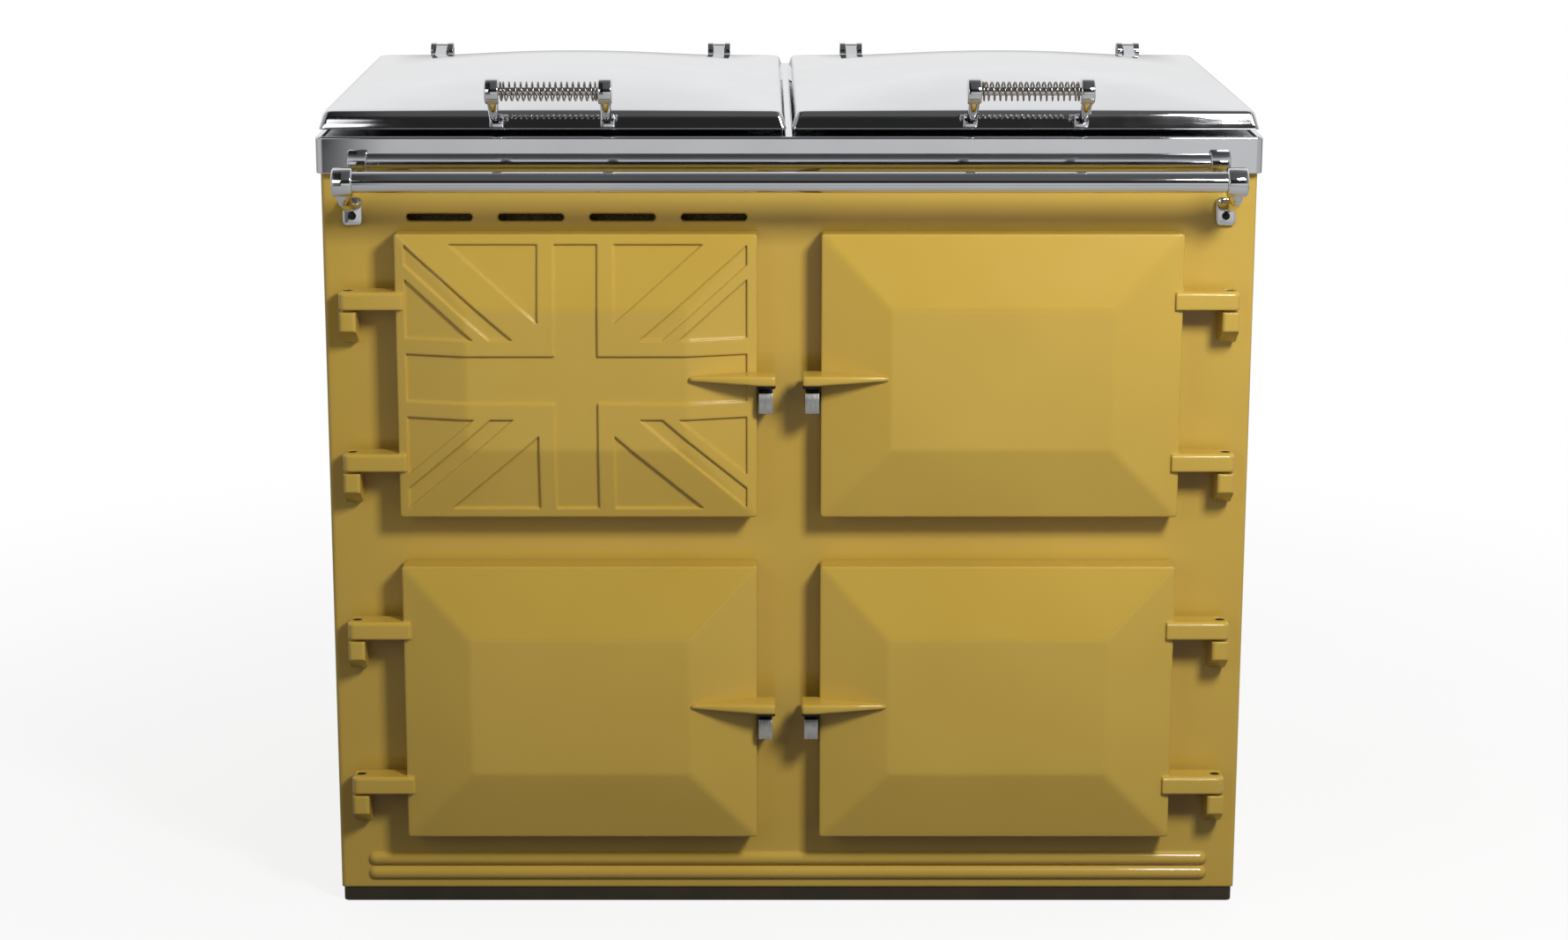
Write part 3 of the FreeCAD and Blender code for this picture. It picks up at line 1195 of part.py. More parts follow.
def build_lids():
    shell, liner = make_lid_shell(), make_lid_liner()
    lugs, brackets, bar = make_lid_lugs(), make_grip_brackets(), make_grip_rod()
    for name, side in (("left_lid", -1), ("right_lid", 1)):
        spring, gap = make_spring(side * LID_X)
        print("%s spring: least gap between turns %.2f mm" % (name, gap))
        save(name, on_side(shell, side))
        save(name + "_liner", on_side(liner, side))
        save(name + "_hinge_lugs", [on_side(lug, side) for lug in lugs])
        save(name + "_handle_brackets", [on_side(b, side) for b in brackets])
        save(name + "_handle_rod", on_side(bar, side))
        save(name + "_handle_spring", spring)
    places = [side * x for side in (-1, 1) for x in lid_lug_places()]
    save("lid_hinge_brackets", [make_lid_bracket(x) for x in places])
    save("lid_hinge_pins", [make_lid_pin(x) for x in places])


os.makedirs("parts", exist_ok=True)
build_body()
build_ovens()
build_doors()
build_lids()
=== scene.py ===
import bpy
import bmesh
import math
from mathutils import Matrix, Vector


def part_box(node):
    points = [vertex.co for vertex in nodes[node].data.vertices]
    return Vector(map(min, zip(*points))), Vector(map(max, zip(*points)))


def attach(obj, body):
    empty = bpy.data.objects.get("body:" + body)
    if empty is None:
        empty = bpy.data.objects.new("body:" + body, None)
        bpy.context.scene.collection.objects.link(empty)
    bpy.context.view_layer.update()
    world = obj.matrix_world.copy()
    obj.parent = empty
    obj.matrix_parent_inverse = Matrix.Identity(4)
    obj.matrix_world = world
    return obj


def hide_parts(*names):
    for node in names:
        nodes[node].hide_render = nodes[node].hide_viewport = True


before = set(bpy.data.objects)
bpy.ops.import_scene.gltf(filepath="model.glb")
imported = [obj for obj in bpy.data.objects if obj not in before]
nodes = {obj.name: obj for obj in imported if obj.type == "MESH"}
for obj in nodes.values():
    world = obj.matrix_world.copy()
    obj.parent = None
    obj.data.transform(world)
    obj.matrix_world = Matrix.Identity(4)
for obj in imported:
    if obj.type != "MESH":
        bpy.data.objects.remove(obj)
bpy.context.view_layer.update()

# ---- plinth ---------------------------------------------------------------------------------------
# The tray that the cooker stands on: folded steel sheet with rounded corners, stoved in a dark brown
# satin paint. Everything else is built up on it.
WELD_GAP = 0.00001
FLAT_WITHIN = 0.5  # degrees
EASE_SEGMENTS = 3
EVEN_SHADE = 80


def paint(red, green, blue):
    """A colour card's values, 0 to 255, as the light that they stand for."""
    return tuple((c / 255 / 12.92 if c <= 10 else ((c / 255 + 0.055) / 1.055) ** 2.4)
                 for c in (red, green, blue)) + (1.0,)


def new_finish(name, colour, roughness, metallic=0.0, **values):
    """A finish with its plain values set on the shader itself."""
    finish = bpy.data.materials.new(name)
    finish.use_nodes = True
    shader = finish.node_tree.nodes["Principled BSDF"]
    shader.inputs["Base Color"].default_value = colour
    shader.inputs["Roughness"].default_value = roughness
    shader.inputs["Metallic"].default_value = metallic
    for socket, value in values.items():
        shader.inputs[socket.replace("_", " ")].default_value = value
    return finish


def add_step(finish, kind, **values):
    """One more node in a finish, with its inputs set by name."""
    step = finish.node_tree.nodes.new(kind)
    for socket, value in values.items():
        step.inputs[socket.replace("_", " ")].default_value = value
    return step


def mottle(finish, per_metre, detail=3.0, stretch=(1, 1, 1)):
    """Clouded noise over a piece, so many waves to the metre, drawn out along an axis if asked."""
    link = finish.node_tree.links.new
    place = add_step(finish, "ShaderNodeTexCoord")
    turn = add_step(finish, "ShaderNodeMapping", Scale=stretch)
    noise = add_step(finish, "ShaderNodeTexNoise", Scale=per_metre, Detail=detail)
    link(place.outputs["Object"], turn.inputs["Vector"])
    link(turn.outputs["Vector"], noise.inputs["Vector"])
    return noise.outputs["Fac"]


def colour_between(finish, pattern, first, second, low=0.35, high=0.65):
    """Lets a pattern pass the finish from one colour to another."""
    ramp = add_step(finish, "ShaderNodeValToRGB")
    for stop, place, colour in zip(ramp.color_ramp.elements, (low, high), (first, second)):
        stop.position = place
        stop.color = colour
    finish.node_tree.links.new(pattern, ramp.inputs["Fac"])
    shader = finish.node_tree.nodes["Principled BSDF"]
    finish.node_tree.links.new(ramp.outputs["Color"], shader.inputs["Base Color"])
    return ramp.outputs["Color"]


def gloss_between(finish, pattern, least, most, low=0.3, high=0.7):
    """Lets a pattern vary the finish's roughness."""
    spread = add_step(finish, "ShaderNodeMapRange", From_Min=low, From_Max=high, To_Min=least, To_Max=most)
    finish.node_tree.links.new(pattern, spread.inputs["Value"])
    shader = finish.node_tree.nodes["Principled BSDF"]
    finish.node_tree.links.new(spread.outputs["Result"], shader.inputs["Roughness"])


def raise_grain(finish, pattern, depth):
    """Lets a pattern lift the surface by a depth in metres, over any grain that it has already."""
    shader = finish.node_tree.nodes["Principled BSDF"]
    bump = add_step(finish, "ShaderNodeBump", Strength=1.0, Distance=depth)
    finish.node_tree.links.new(pattern, bump.inputs["Height"])
    if shader.inputs["Normal"].is_linked:
        under = shader.inputs["Normal"].links[0].from_socket
        finish.node_tree.links.new(under, bump.inputs["Normal"])
    finish.node_tree.links.new(bump.outputs["Normal"], shader.inputs["Normal"])


def smooth_skin():
    """Modifier steps that drop a solid's hard edges, so that the eased ones shade as one skin."""
    steps = bpy.data.node_groups.new("smooth_skin", "GeometryNodeTree")
    steps.interface.new_socket("Geometry", in_out="INPUT", socket_type="NodeSocketGeometry")
    steps.interface.new_socket("Geometry", in_out="OUTPUT", socket_type="NodeSocketGeometry")
    last = steps.nodes.new("NodeGroupInput").outputs[0]
    bare = steps.nodes.new("GeometryNodeRemoveAttribute")
    bare.inputs["Name"].default_value = "custom_normal"
    steps.links.new(last, bare.inputs[0])
    last = bare.outputs[0]
    for domain in ("FACE", "EDGE"):
        smooth = steps.nodes.new("GeometryNodeSetShadeSmooth")
        smooth.domain = domain
        steps.links.new(last, smooth.inputs[0])
        last = smooth.outputs[0]
    steps.links.new(last, steps.nodes.new("NodeGroupOutput").inputs[0])
    return steps


SMOOTH_SKIN = smooth_skin()


def dress(name, finish, ease=0.0, corner=35, held_in=True):
    """Gives a CAD piece its finish, and eases its edges that are sharper than a corner in degrees.

    The ease is a radius in metres; held_in makes it smaller where two eased edges would meet.
    """
    part = nodes[name]
    for place in part.material_slots:
        place.material = finish
    if ease:
        part.modifiers.new("one_skin", "WELD").merge_threshold = WELD_GAP
        flats = part.modifiers.new("whole_flats", "DECIMATE")
        flats.decimate_type = "DISSOLVE"
        flats.angle_limit = math.radians(FLAT_WITHIN)
        part.modifiers.new("smooth_skin", "NODES").node_group = SMOOTH_SKIN
        edge = part.modifiers.new("eased_edges", "BEVEL")
        edge.width = ease
        edge.segments = EASE_SEGMENTS
        edge.limit_method = "ANGLE"
        edge.angle_limit = math.radians(corner)
        edge.use_clamp_overlap = held_in
        edge.harden_normals = False
        edge.loop_slide = False
        part.modifiers.new("even_shade", "WEIGHTED_NORMAL").weight = EVEN_SHADE


tray_paint = new_finish("tray_paint", paint(40, 33, 15), 0.5)
speckle = mottle(tray_paint, 900, 2)
colour_between(tray_paint, mottle(tray_paint, 25, 4), paint(35, 29, 12), paint(46, 38, 19))
gloss_between(tray_paint, speckle, 0.42, 0.58)
raise_grain(tray_paint, speckle, 0.00006)
dress("plinth", tray_paint, ease=0.0012)

# ---- base plate -----------------------------------------------------------------------------------
# A plain grey iron casting laid in the tray, with its sand skin left as it was cast. The ovens stand
# on it.
raw_iron = new_finish("raw_iron", paint(66, 66, 68), 0.62, 0.6)
sand_skin = mottle(raw_iron, 700, 5)
colour_between(raw_iron, mottle(raw_iron, 40, 5), paint(54, 53, 53), paint(80, 79, 80))
gloss_between(raw_iron, sand_skin, 0.5, 0.75)
raise_grain(raw_iron, sand_skin, 0.00025)
dress("base_plate", raw_iron, ease=0.001)

# ---- insulation -----------------------------------------------------------------------------------
# Mineral wool, packed by hand round the ovens until the body is full. It is lumpy, and it shows only
# through the vents.
WOOL_VOXEL = 0.014
WOOL_LUMPS = 0.006
WOOL_LUMP_SIZE = 0.05
mineral_wool = new_finish("mineral_wool", paint(120, 104, 66), 0.95, Sheen_Weight=0.3)
fibres = mottle(mineral_wool, 260, 6, (1, 1, 3))
colour_between(mineral_wool, fibres, paint(88, 74, 44), paint(138, 120, 80))
raise_grain(mineral_wool, fibres, 0.0015)
packing = bpy.data.objects.new("wool_packing", nodes["insulation"].data.copy())
packing.data.materials.clear()
packing.data.materials.append(mineral_wool)
bpy.context.scene.collection.objects.link(packing)
felted = packing.modifiers.new("felted", "REMESH")
felted.mode = "VOXEL"
felted.voxel_size = WOOL_VOXEL
felted.use_smooth_shade = True
lumps = bpy.data.textures.new("wool_lumps", "CLOUDS")
lumps.noise_scale = WOOL_LUMP_SIZE
swell = packing.modifiers.new("lumpy", "DISPLACE")
swell.texture = lumps
swell.strength = WOOL_LUMPS
swell.mid_level = 1.0
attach(packing, "cooker")
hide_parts("insulation")

# ---- ovens ----------------------------------------------------------------------------------------
# Three cast ovens, each a box open at the front with a mouth flange, shelf runners and feet, fired in
# a black enamel flecked with grey.
flecked_enamel = new_finish("flecked_black_enamel", paint(24, 24, 27), 0.3, Coat_Weight=0.5,
                            Coat_Roughness=0.15)
flecks = mottle(flecked_enamel, 420, 1)
colour_between(flecked_enamel, flecks, paint(23, 23, 26), paint(122, 122, 126), 0.66, 0.7)
gloss_between(flecked_enamel, mottle(flecked_enamel, 30, 3), 0.24, 0.4)
raise_grain(flecked_enamel, mottle(flecked_enamel, 160, 2), 0.00015)
for oven in ("roasting_oven", "baking_oven", "simmering_oven"):
    dress(oven, flecked_enamel, ease=0.0012)

# ---- oven shelves ---------------------------------------------------------------------------------
# Grid shelves of welded steel rod, brightly plated. One lies on the middle runners of each oven, and
# slides out over its mouth.
shelf_plate = new_finish("shelf_plate", paint(188, 188, 190), 0.24, 1.0)
colour_between(shelf_plate, mottle(shelf_plate, 60, 4), paint(168, 166, 163), paint(196, 196, 198))
gloss_between(shelf_plate, mottle(shelf_plate, 300, 3), 0.16, 0.34)
dress("oven_shelves", shelf_plate, ease=0.0006)

# ---- control case and panel -----------------------------------------------------------------------
# A case of zinc-coated steel sheet is set in behind the upper left opening. A panel of steel sheet,
# enamelled black, lies across it and carries the controls.
zinc_sheet = new_finish("zinc_sheet", paint(188, 191, 193), 0.4, 0.9)
spangle = add_step(zinc_sheet, "ShaderNodeTexVoronoi", Scale=75.0)
zinc_sheet.node_tree.links.new(add_step(zinc_sheet, "ShaderNodeTexCoord").outputs["Object"],
                               spangle.inputs["Vector"])
colour_between(zinc_sheet, spangle.outputs["Color"], paint(172, 176, 179), paint(198, 201, 203), 0.1, 0.9)
gloss_between(zinc_sheet, spangle.outputs["Color"], 0.36, 0.46, 0.0, 1.0)
raise_grain(zinc_sheet, mottle(zinc_sheet, 500, 3), 0.00004)
dress("control_box", zinc_sheet, ease=0.0006)

panel_enamel = new_finish("panel_enamel", paint(30, 30, 32), 0.25, Coat_Weight=0.6, Coat_Roughness=0.08)
colour_between(panel_enamel, mottle(panel_enamel, 12, 3), paint(27, 27, 29), paint(36, 36, 38))
gloss_between(panel_enamel, mottle(panel_enamel, 90, 3), 0.2, 0.32)
raise_grain(panel_enamel, mottle(panel_enamel, 220, 2), 0.00005)
dress("control_panel", panel_enamel, ease=0.0006)

# ---- control knobs and dials ----------------------------------------------------------------------
# Three knobs moulded in black plastic with their spindles, fluted for the fingers, each with a raised
# pale pointer. A ring of marks is printed on the panel's enamel round each.
PANEL_LOW, PANEL_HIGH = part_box("control_panel")
KNOB_RADIUS = 0.021
KNOB_FLUTES = 18
FLUTE_DEPTH = 0.035
GRIP_BACK = 0.0165
KNOB_BACK = 0.018
HUB_RADIUS = 0.004
# the grip from its back to its face: distance behind the face, and share of the knob's radius
KNOB_GRIP = [(GRIP_BACK, 1.0), (0.015, 1.0), (0.004, 0.92), (0.0022, 0.9), (0.0008, 0.86), (0.0, 0.8)]
SPINDLE = [(0.017, 0.003), (0.0435, 0.003), (0.044, 0.0026)]
POINTER_WIDE = 0.0032
POINTER_START, POINTER_END = 0.004, 0.0155
POINTER_PROUD, POINTER_SUNK = 0.002, 0.0012
MARKS = 11
LONG_MARK_EVERY = 5
LONG_MARK, SHORT_MARK = 0.007, 0.004
MARK_WIDE = 0.0014
MARK_START = 0.0265
MARK_PROUD, MARK_SUNK = 0.0002, 0.0004
FIRST_MARK_AT, DIAL_SWEEP = 90, 270  # degrees; the first mark stands at the top
RIM_STEPS = 3


def skinned(rings, ends=(True, True), looped=False):
    """A mesh over rings of points, each joined to the next, its two ends closed or left open."""
    count = len(rings[0])
    faces = []
    for k in range(len(rings) if looped else len(rings) - 1):
        here, there = k * count, (k + 1) % len(rings) * count
        for i in range(count):
            j = (i + 1) % count
            faces.append((here + i, here + j, there + j, there + i))
    if ends[0] and not looped:
        faces.append(tuple(reversed(range(count))))
    if ends[1] and not looped:
        faces.append(tuple(range((len(rings) - 1) * count, len(rings) * count)))
    mesh = bpy.data.meshes.new("skin")
    mesh.from_pydata([tuple(p) for ring in rings for p in ring], [], faces)
    return mesh


def ring_about(heart, across, upward, sides, shape=None):
    """Points round a centre on two half axes, drawn in by a share for each angle if asked."""
    ring = []
    for k in range(sides):
        angle = 2 * math.pi * k / sides
        reach = shape(angle) if shape else 1.0
        ring.append(heart + (across * math.cos(angle) + upward * math.sin(angle)) * reach)
    return ring


def turned(profile, centre, axis, sides=48, shape=None):
    """A piece turned round a level axis from (distance along it, radius) pairs, shaped round if asked."""
    centre, axis = Vector(centre), Vector(axis)
    across = axis.cross(Vector((0, 0, 1)))
    upward = axis.cross(across)
    return skinned([ring_about(centre + axis * along, across * radius, upward * radius, sides, shape)
                    for along, radius in profile])


def eased_outline(half_wide, half_high, radius, steps=4):
    """The points of a rectangle with rounded corners, anticlockwise about its middle."""
    points = []
    for k, (sx, sy) in enumerate(((1, 1), (-1, 1), (-1, -1), (1, -1))):
        for i in range(steps + 1):
            angle = math.pi / 2 * (k + i / steps)
            points.append((sx * (half_wide - radius) + radius * math.cos(angle),
                           sy * (half_high - radius) + radius * math.sin(angle)))
    return points


def eased_block(low, high, corner, ease):
    """A block between two corners, rounded as seen from the front, its front and back rims eased."""
    x, z = (low[0] + high[0]) / 2, (low[2] + high[2]) / 2
    half_wide, half_high = (high[0] - low[0]) / 2, (high[2] - low[2]) / 2
    bend = [math.pi / 2 * i / RIM_STEPS for i in range(RIM_STEPS + 1)]
    depths = [low[1] + ease * (1 - math.cos(angle)) for angle in bend]
    depths += [high[1] - ease * (1 - math.cos(angle)) for angle in reversed(bend)]
    shrink = [ease * (1 - math.sin(angle)) for angle in bend]
    shrink += shrink[::-1]
    rings = []
    for y, less in zip(depths, shrink):
        outline = eased_outline(half_wide - less, half_high - less, corner)
        rings.append([(x + wide, y, z + tall) for wide, tall in outline])
    return skinned(rings)


def make_piece(name, meshes, body, finish, stands_for=(), sharp=38):
    """One piece from its built parts, riding on a body of the cooker."""
    built = bmesh.new()
    for mesh in meshes:
        built.from_mesh(mesh)
        bpy.data.meshes.remove(mesh)
    bmesh.ops.recalc_face_normals(built, faces=built.faces)
    whole = bpy.data.meshes.new(name)
    built.to_mesh(whole)
    built.free()
    whole.shade_smooth()
    whole.set_sharp_from_angle(angle=math.radians(sharp))
    whole.materials.append(finish)
    piece = bpy.data.objects.new(name, whole)
    bpy.context.scene.collection.objects.link(piece)
    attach(piece, body)
    if stands_for:
        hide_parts(*stands_for)
    return piece


def fluted(angle):
    """The knob's reach at an angle, as a share of its radius."""
    return 1 - FLUTE_DEPTH * (0.5 + 0.5 * math.cos(KNOB_FLUTES * angle)) ** 2


knob_moulding = new_finish("knob_moulding", paint(30, 30, 32), 0.3, Coat_Weight=0.3, Coat_Roughness=0.2)
colour_between(knob_moulding, mottle(knob_moulding, 120, 3), paint(26, 26, 28), paint(38, 38, 40))
gloss_between(knob_moulding, mottle(knob_moulding, 600, 3), 0.24, 0.4)
mark_print = new_finish("mark_print", paint(214, 212, 204), 0.5)
colour_between(mark_print, mottle(mark_print, 400, 3), paint(200, 198, 190), paint(222, 220, 212))
gloss_between(mark_print, mottle(mark_print, 300, 2), 0.4, 0.6)

marks = []
for name in ("simmering_knob", "oven_knob", "boiling_knob"):
    low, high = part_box(name)
    x, z = (low.x + high.x) / 2, (PANEL_LOW.z + PANEL_HIGH.z) / 2
    face = low.y + POINTER_PROUD
    grip = turned([(behind, KNOB_RADIUS * share) for behind, share in KNOB_GRIP],
                  (x, face, z), (0, 1, 0), sides=144, shape=fluted)
    back = turned([(GRIP_BACK, KNOB_RADIUS), (KNOB_BACK, KNOB_RADIUS), (KNOB_BACK, HUB_RADIUS),
                   (0.0, HUB_RADIUS)], (x, face, z), (0, 1, 0), sides=64)
    spindle = turned(SPINDLE, (x, face, z), (0, 1, 0), sides=24)
    make_piece(name + "_moulding", [grip, back, spindle], name, knob_moulding, (name,))
    pointer = eased_block((x - POINTER_WIDE / 2, face - POINTER_PROUD, z + POINTER_START),
                          (x + POINTER_WIDE / 2, face + POINTER_SUNK, z + POINTER_END),
                          corner=0.0012, ease=0.0005)
    make_piece(name + "_pointer", [pointer], name, mark_print)
    for k in range(MARKS):
        angle = math.radians(FIRST_MARK_AT - DIAL_SWEEP * k / (MARKS - 1))
        length = SHORT_MARK if k % LONG_MARK_EVERY else LONG_MARK
        mark = eased_block((MARK_START, PANEL_LOW.y - MARK_PROUD, -MARK_WIDE / 2),
                           (MARK_START + length, PANEL_LOW.y + MARK_SUNK, MARK_WIDE / 2),
                           corner=0.0005, ease=0.0001)
        mark.transform(Matrix.Translation((x, 0, z)) @ Matrix.Rotation(-angle, 4, "Y"))
        marks.append(mark)
make_piece("dial_marks", marks, "cooker", mark_print)

# ---- panel screws ---------------------------------------------------------------------------------
# Four steel screws with domed heads and cross recesses, one near each corner of the panel, hold it in
# its case.
PANEL_SCREW_INSET = 0.022
SCREW_SIDES = 32


def screw_head(centre, axis, radius, rise):
    """A domed screw head with a cross recess, standing on a face."""

    def cross(angle):
        """The recess's reach at an angle: full along its four arms and short between them."""
        return 1.0 if math.cos(4 * angle) > 0.4 else 0.42

    dome = [(0, radius), (rise * 0.45, radius), (rise * 0.8, radius * 0.85), (rise, radius * 0.6)]
    recess = [(rise * 1.01, radius * 0.5), (rise * 0.35, radius * 0.3)]
    return [turned(dome, centre, axis, SCREW_SIDES), turned(recess, centre, axis, SCREW_SIDES, cross)]


screw_steel = new_finish("screw_steel", paint(170, 170, 172), 0.3, 1.0)
colour_between(screw_steel, mottle(screw_steel, 300, 3), paint(150, 149, 148), paint(184, 184, 186))
gloss_between(screw_steel, mottle(screw_steel, 700, 3), 0.22, 0.42)
heads = []
for x in (PANEL_LOW.x + PANEL_SCREW_INSET, PANEL_HIGH.x - PANEL_SCREW_INSET):
    for z in (PANEL_LOW.z + PANEL_SCREW_INSET, PANEL_HIGH.z - PANEL_SCREW_INSET):
        heads += screw_head((x, PANEL_LOW.y, z), (0, -1, 0), radius=0.0038, rise=0.0022)
make_piece("panel_screws", heads, "cooker", screw_steel)

# ---- front and sides ------------------------------------------------------------------------------
# The cast iron front, with its openings, four vents and two half-round mouldings at the foot, and the
# steel sides. All are covered in thick mustard vitreous enamel, fired until it flows and softens edges.
ENAMEL_FLOW = 0.0035
mustard_enamel = new_finish("mustard_enamel", paint(193, 160, 68), 0.32, Coat_Weight=0.5,
                            Coat_Roughness=0.05, Specular_IOR_Level=0.15)
colour_between(mustard_enamel, mottle(mustard_enamel, 5, 3), paint(191, 158, 66), paint(197, 164, 71),
               0.3, 0.7)
gloss_between(mustard_enamel, mottle(mustard_enamel, 14, 3), 0.28, 0.37)
flow = add_step(mustard_enamel, "ShaderNodeBevel", Radius=ENAMEL_FLOW)
flow.samples = 6
mustard_enamel.node_tree.links.new(flow.outputs[0],
                                   mustard_enamel.node_tree.nodes["Principled BSDF"].inputs["Normal"])
raise_grain(mustard_enamel, mottle(mustard_enamel, 30, 1), 0.00008)
raise_grain(mustard_enamel, mottle(mustard_enamel, 420, 2), 0.00002)
dress("front_plate", mustard_enamel, ease=0.0014)
dress("left_side_panel", mustard_enamel, ease=0.0008)
dress("right_side_panel", mustard_enamel, ease=0.0008)

# ---- back -----------------------------------------------------------------------------------------
# A zinc-coated steel sheet with rows of vents, set a little inside the edges of the sides. Domed screws
# round its edges hold it.
BACK_SCREW_INSET = 0.006
BACK_SCREW_UP = 0.012
BACK_SCREW_DOWN = 0.010
dress("back_panel", zinc_sheet, ease=0.0003)
BACK_LOW, BACK_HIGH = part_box("back_panel")
columns = (BACK_LOW.x + BACK_SCREW_INSET, BACK_LOW.x / 3, BACK_HIGH.x / 3, BACK_HIGH.x - BACK_SCREW_INSET)
middle_row = (BACK_LOW.z + BACK_HIGH.z) / 2
heads = []
for x in columns:
    for z in (BACK_LOW.z + BACK_SCREW_UP, middle_row, BACK_HIGH.z - BACK_SCREW_DOWN):
        if z != middle_row or x in (columns[0], columns[-1]):
            heads += screw_head((x, BACK_HIGH.y, z), (0, 1, 0), radius=0.004, rise=0.0024)
make_piece("back_screws", heads, "cooker", screw_steel)

# ---- cable inlet ----------------------------------------------------------------------------------
# The inlet for the supply cable: a moulded gland with a hexagon and a ribbed clamping cap outside the
# back, held through the sheet by its own nut inside.
GLAND_BORE = 0.007
NUT_RADIUS = 0.015
NUT_FACE = 0.0142
GLAND_RIBS = 12
RIB_DEPTH = 0.04
# (distance out of the sheet, radius) pairs
GLAND_CAP = [(0.006, GLAND_BORE), (0.006, 0.0128), (0.007, 0.0138), (0.0125, 0.0138), (0.0155, 0.0118),
             (0.0175, 0.0096), (0.018, 0.0088), (0.018, GLAND_BORE)]
GLAND_MOUTH = [(0.018, GLAND_BORE), (0.018, 0.0088), (0.0172, 0.0085), (0.017, GLAND_BORE)]


def nut_profile(start, end, chamfer):
    """A nut between two distances out of the sheet, its rims chamfered."""
    return [(start, GLAND_BORE), (start, NUT_FACE), (start + chamfer, NUT_RADIUS),
            (end - chamfer, NUT_RADIUS), (end, NUT_FACE), (end, GLAND_BORE)]


def six_flats(angle):
    """A hexagon's reach at an angle, as a share of its corners' radius."""
    return math.cos(math.pi / 6) / math.cos((angle % (math.pi / 3)) - math.pi / 6)


def ribbed(angle):
    """The cap's reach at an angle, as a share of its radius."""
    return 1 - RIB_DEPTH * (0.5 + 0.5 * math.cos(GLAND_RIBS * angle)) ** 4


gland_moulding = new_finish("gland_moulding", paint(34, 34, 36), 0.55)
colour_between(gland_moulding, mottle(gland_moulding, 200, 3), paint(29, 29, 31), paint(42, 42, 44))
gloss_between(gland_moulding, mottle(gland_moulding, 900, 3), 0.45, 0.65)
raise_grain(gland_moulding, mottle(gland_moulding, 900, 3), 0.00003)
low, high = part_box("cable_gland")
centre = ((low.x + high.x) / 2, BACK_HIGH.y, (low.z + high.z) / 2)
gland = [
    turned(nut_profile(-0.007, -0.002, chamfer=0.0005), centre, (0, 1, 0), shape=six_flats),
    turned(nut_profile(0, 0.006, chamfer=0.001), centre, (0, 1, 0), shape=six_flats),
    turned(GLAND_CAP, centre, (0, 1, 0), sides=96, shape=ribbed),
    turned(GLAND_MOUTH, centre, (0, 1, 0)),
]
make_piece("cable_gland_moulding", gland, "cooker", gland_moulding, ("cable_gland",))

# ---- top plate ------------------------------------------------------------------------------------
# A polished and plated casting that caps the body and stands out over its front, with an aperture for
# each hotplate.
bright_plate = new_finish("bright_plate", paint(210, 211, 214), 0.04, 1.0)
colour_between(bright_plate, mottle(bright_plate, 9, 3), paint(207, 208, 211), paint(213, 214, 217))
gloss_between(bright_plate, mottle(bright_plate, 22, 4), 0.025, 0.06)
raise_grain(bright_plate, mottle(bright_plate, 7, 1), 0.00004)
dress("top_plate", bright_plate, ease=0.0012)

# ---- hotplates ------------------------------------------------------------------------------------
# Two thick iron plates, ground flat on top in straight passes, hang in the apertures. Flat sheathed
# heating bars lie in the grooves underneath.
ground_iron = new_finish("ground_iron", paint(118, 118, 120), 0.34, 0.9)
passes = mottle(ground_iron, 60, 4, (1, 22, 1))
colour_between(ground_iron, passes, paint(98, 97, 97), paint(132, 132, 135))
gloss_between(ground_iron, mottle(ground_iron, 35, 4), 0.28, 0.46)
raise_grain(ground_iron, passes, 0.00004)
dress("boiling_plate", ground_iron, ease=0.0012)
dress("simmering_plate", ground_iron, ease=0.0012)

element_sheath = new_finish("element_sheath", paint(92, 88, 82), 0.45, 1.0)
colour_between(element_sheath, mottle(element_sheath, 50, 3), paint(70, 64, 60), paint(108, 104, 98))
gloss_between(element_sheath, mottle(element_sheath, 200, 3), 0.36, 0.55)
dress("heating_elements", element_sheath, ease=0.0008)

# ---- handrail and its brackets --------------------------------------------------------------------
# A plated tube across the front for towels, its ends in turned caps. Each cap stands on a bent neck
# from a small foot plate, and one screw through the foot holds it to the enamelled front.
RAIL_LOW, RAIL_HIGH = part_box("handrail")
RAIL_Y, RAIL_Z = (RAIL_LOW.y + RAIL_HIGH.y) / 2, (RAIL_LOW.z + RAIL_HIGH.z) / 2
BRACKET_LOW, BRACKET_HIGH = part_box("rail_brackets")
CAP_LENGTH, CAP_RADIUS, CAP_RIM = 0.0215, 0.015, 0.0022
CAP_SIDES = 64
CAP_DISH = 0.0006
FOOT_WIDE, FOOT_HIGH, FOOT_THICK = 0.021, 0.030, 0.007
FOOT_FACE = BRACKET_HIGH.y - FOOT_THICK
FOOT_TOP = BRACKET_LOW.z + FOOT_HIGH
RAIL_SCREW_UP = 0.0105
# half widths and half depths of the neck at its foot, waist and top
NECK_WIDE = (0.0098, 0.0060, 0.0082)
NECK_DEEP = (0.0070, 0.0052, 0.0068)
NECK_FLARE = 2.2
NECK_SIDES = 28
BEND_STEPS = 14
# the neck's line: its root behind the foot's face, its knee behind the rail, its seat under the rail
ROOT_IN, ROOT_DOWN = 0.0025, 0.0085
KNEE_IN, KNEE_DOWN = 0.010, 0.004
SEAT_DOWN = 0.009
EAR_OUT, EAR_FRONT, EAR_DOWN = 0.0082, 0.0008, 0.0042
EAR = [(-0.0022, 0.0018), (-0.0016, 0.0029), (0, 0.0034), (0.0016, 0.0029), (0.0022, 0.0018)]


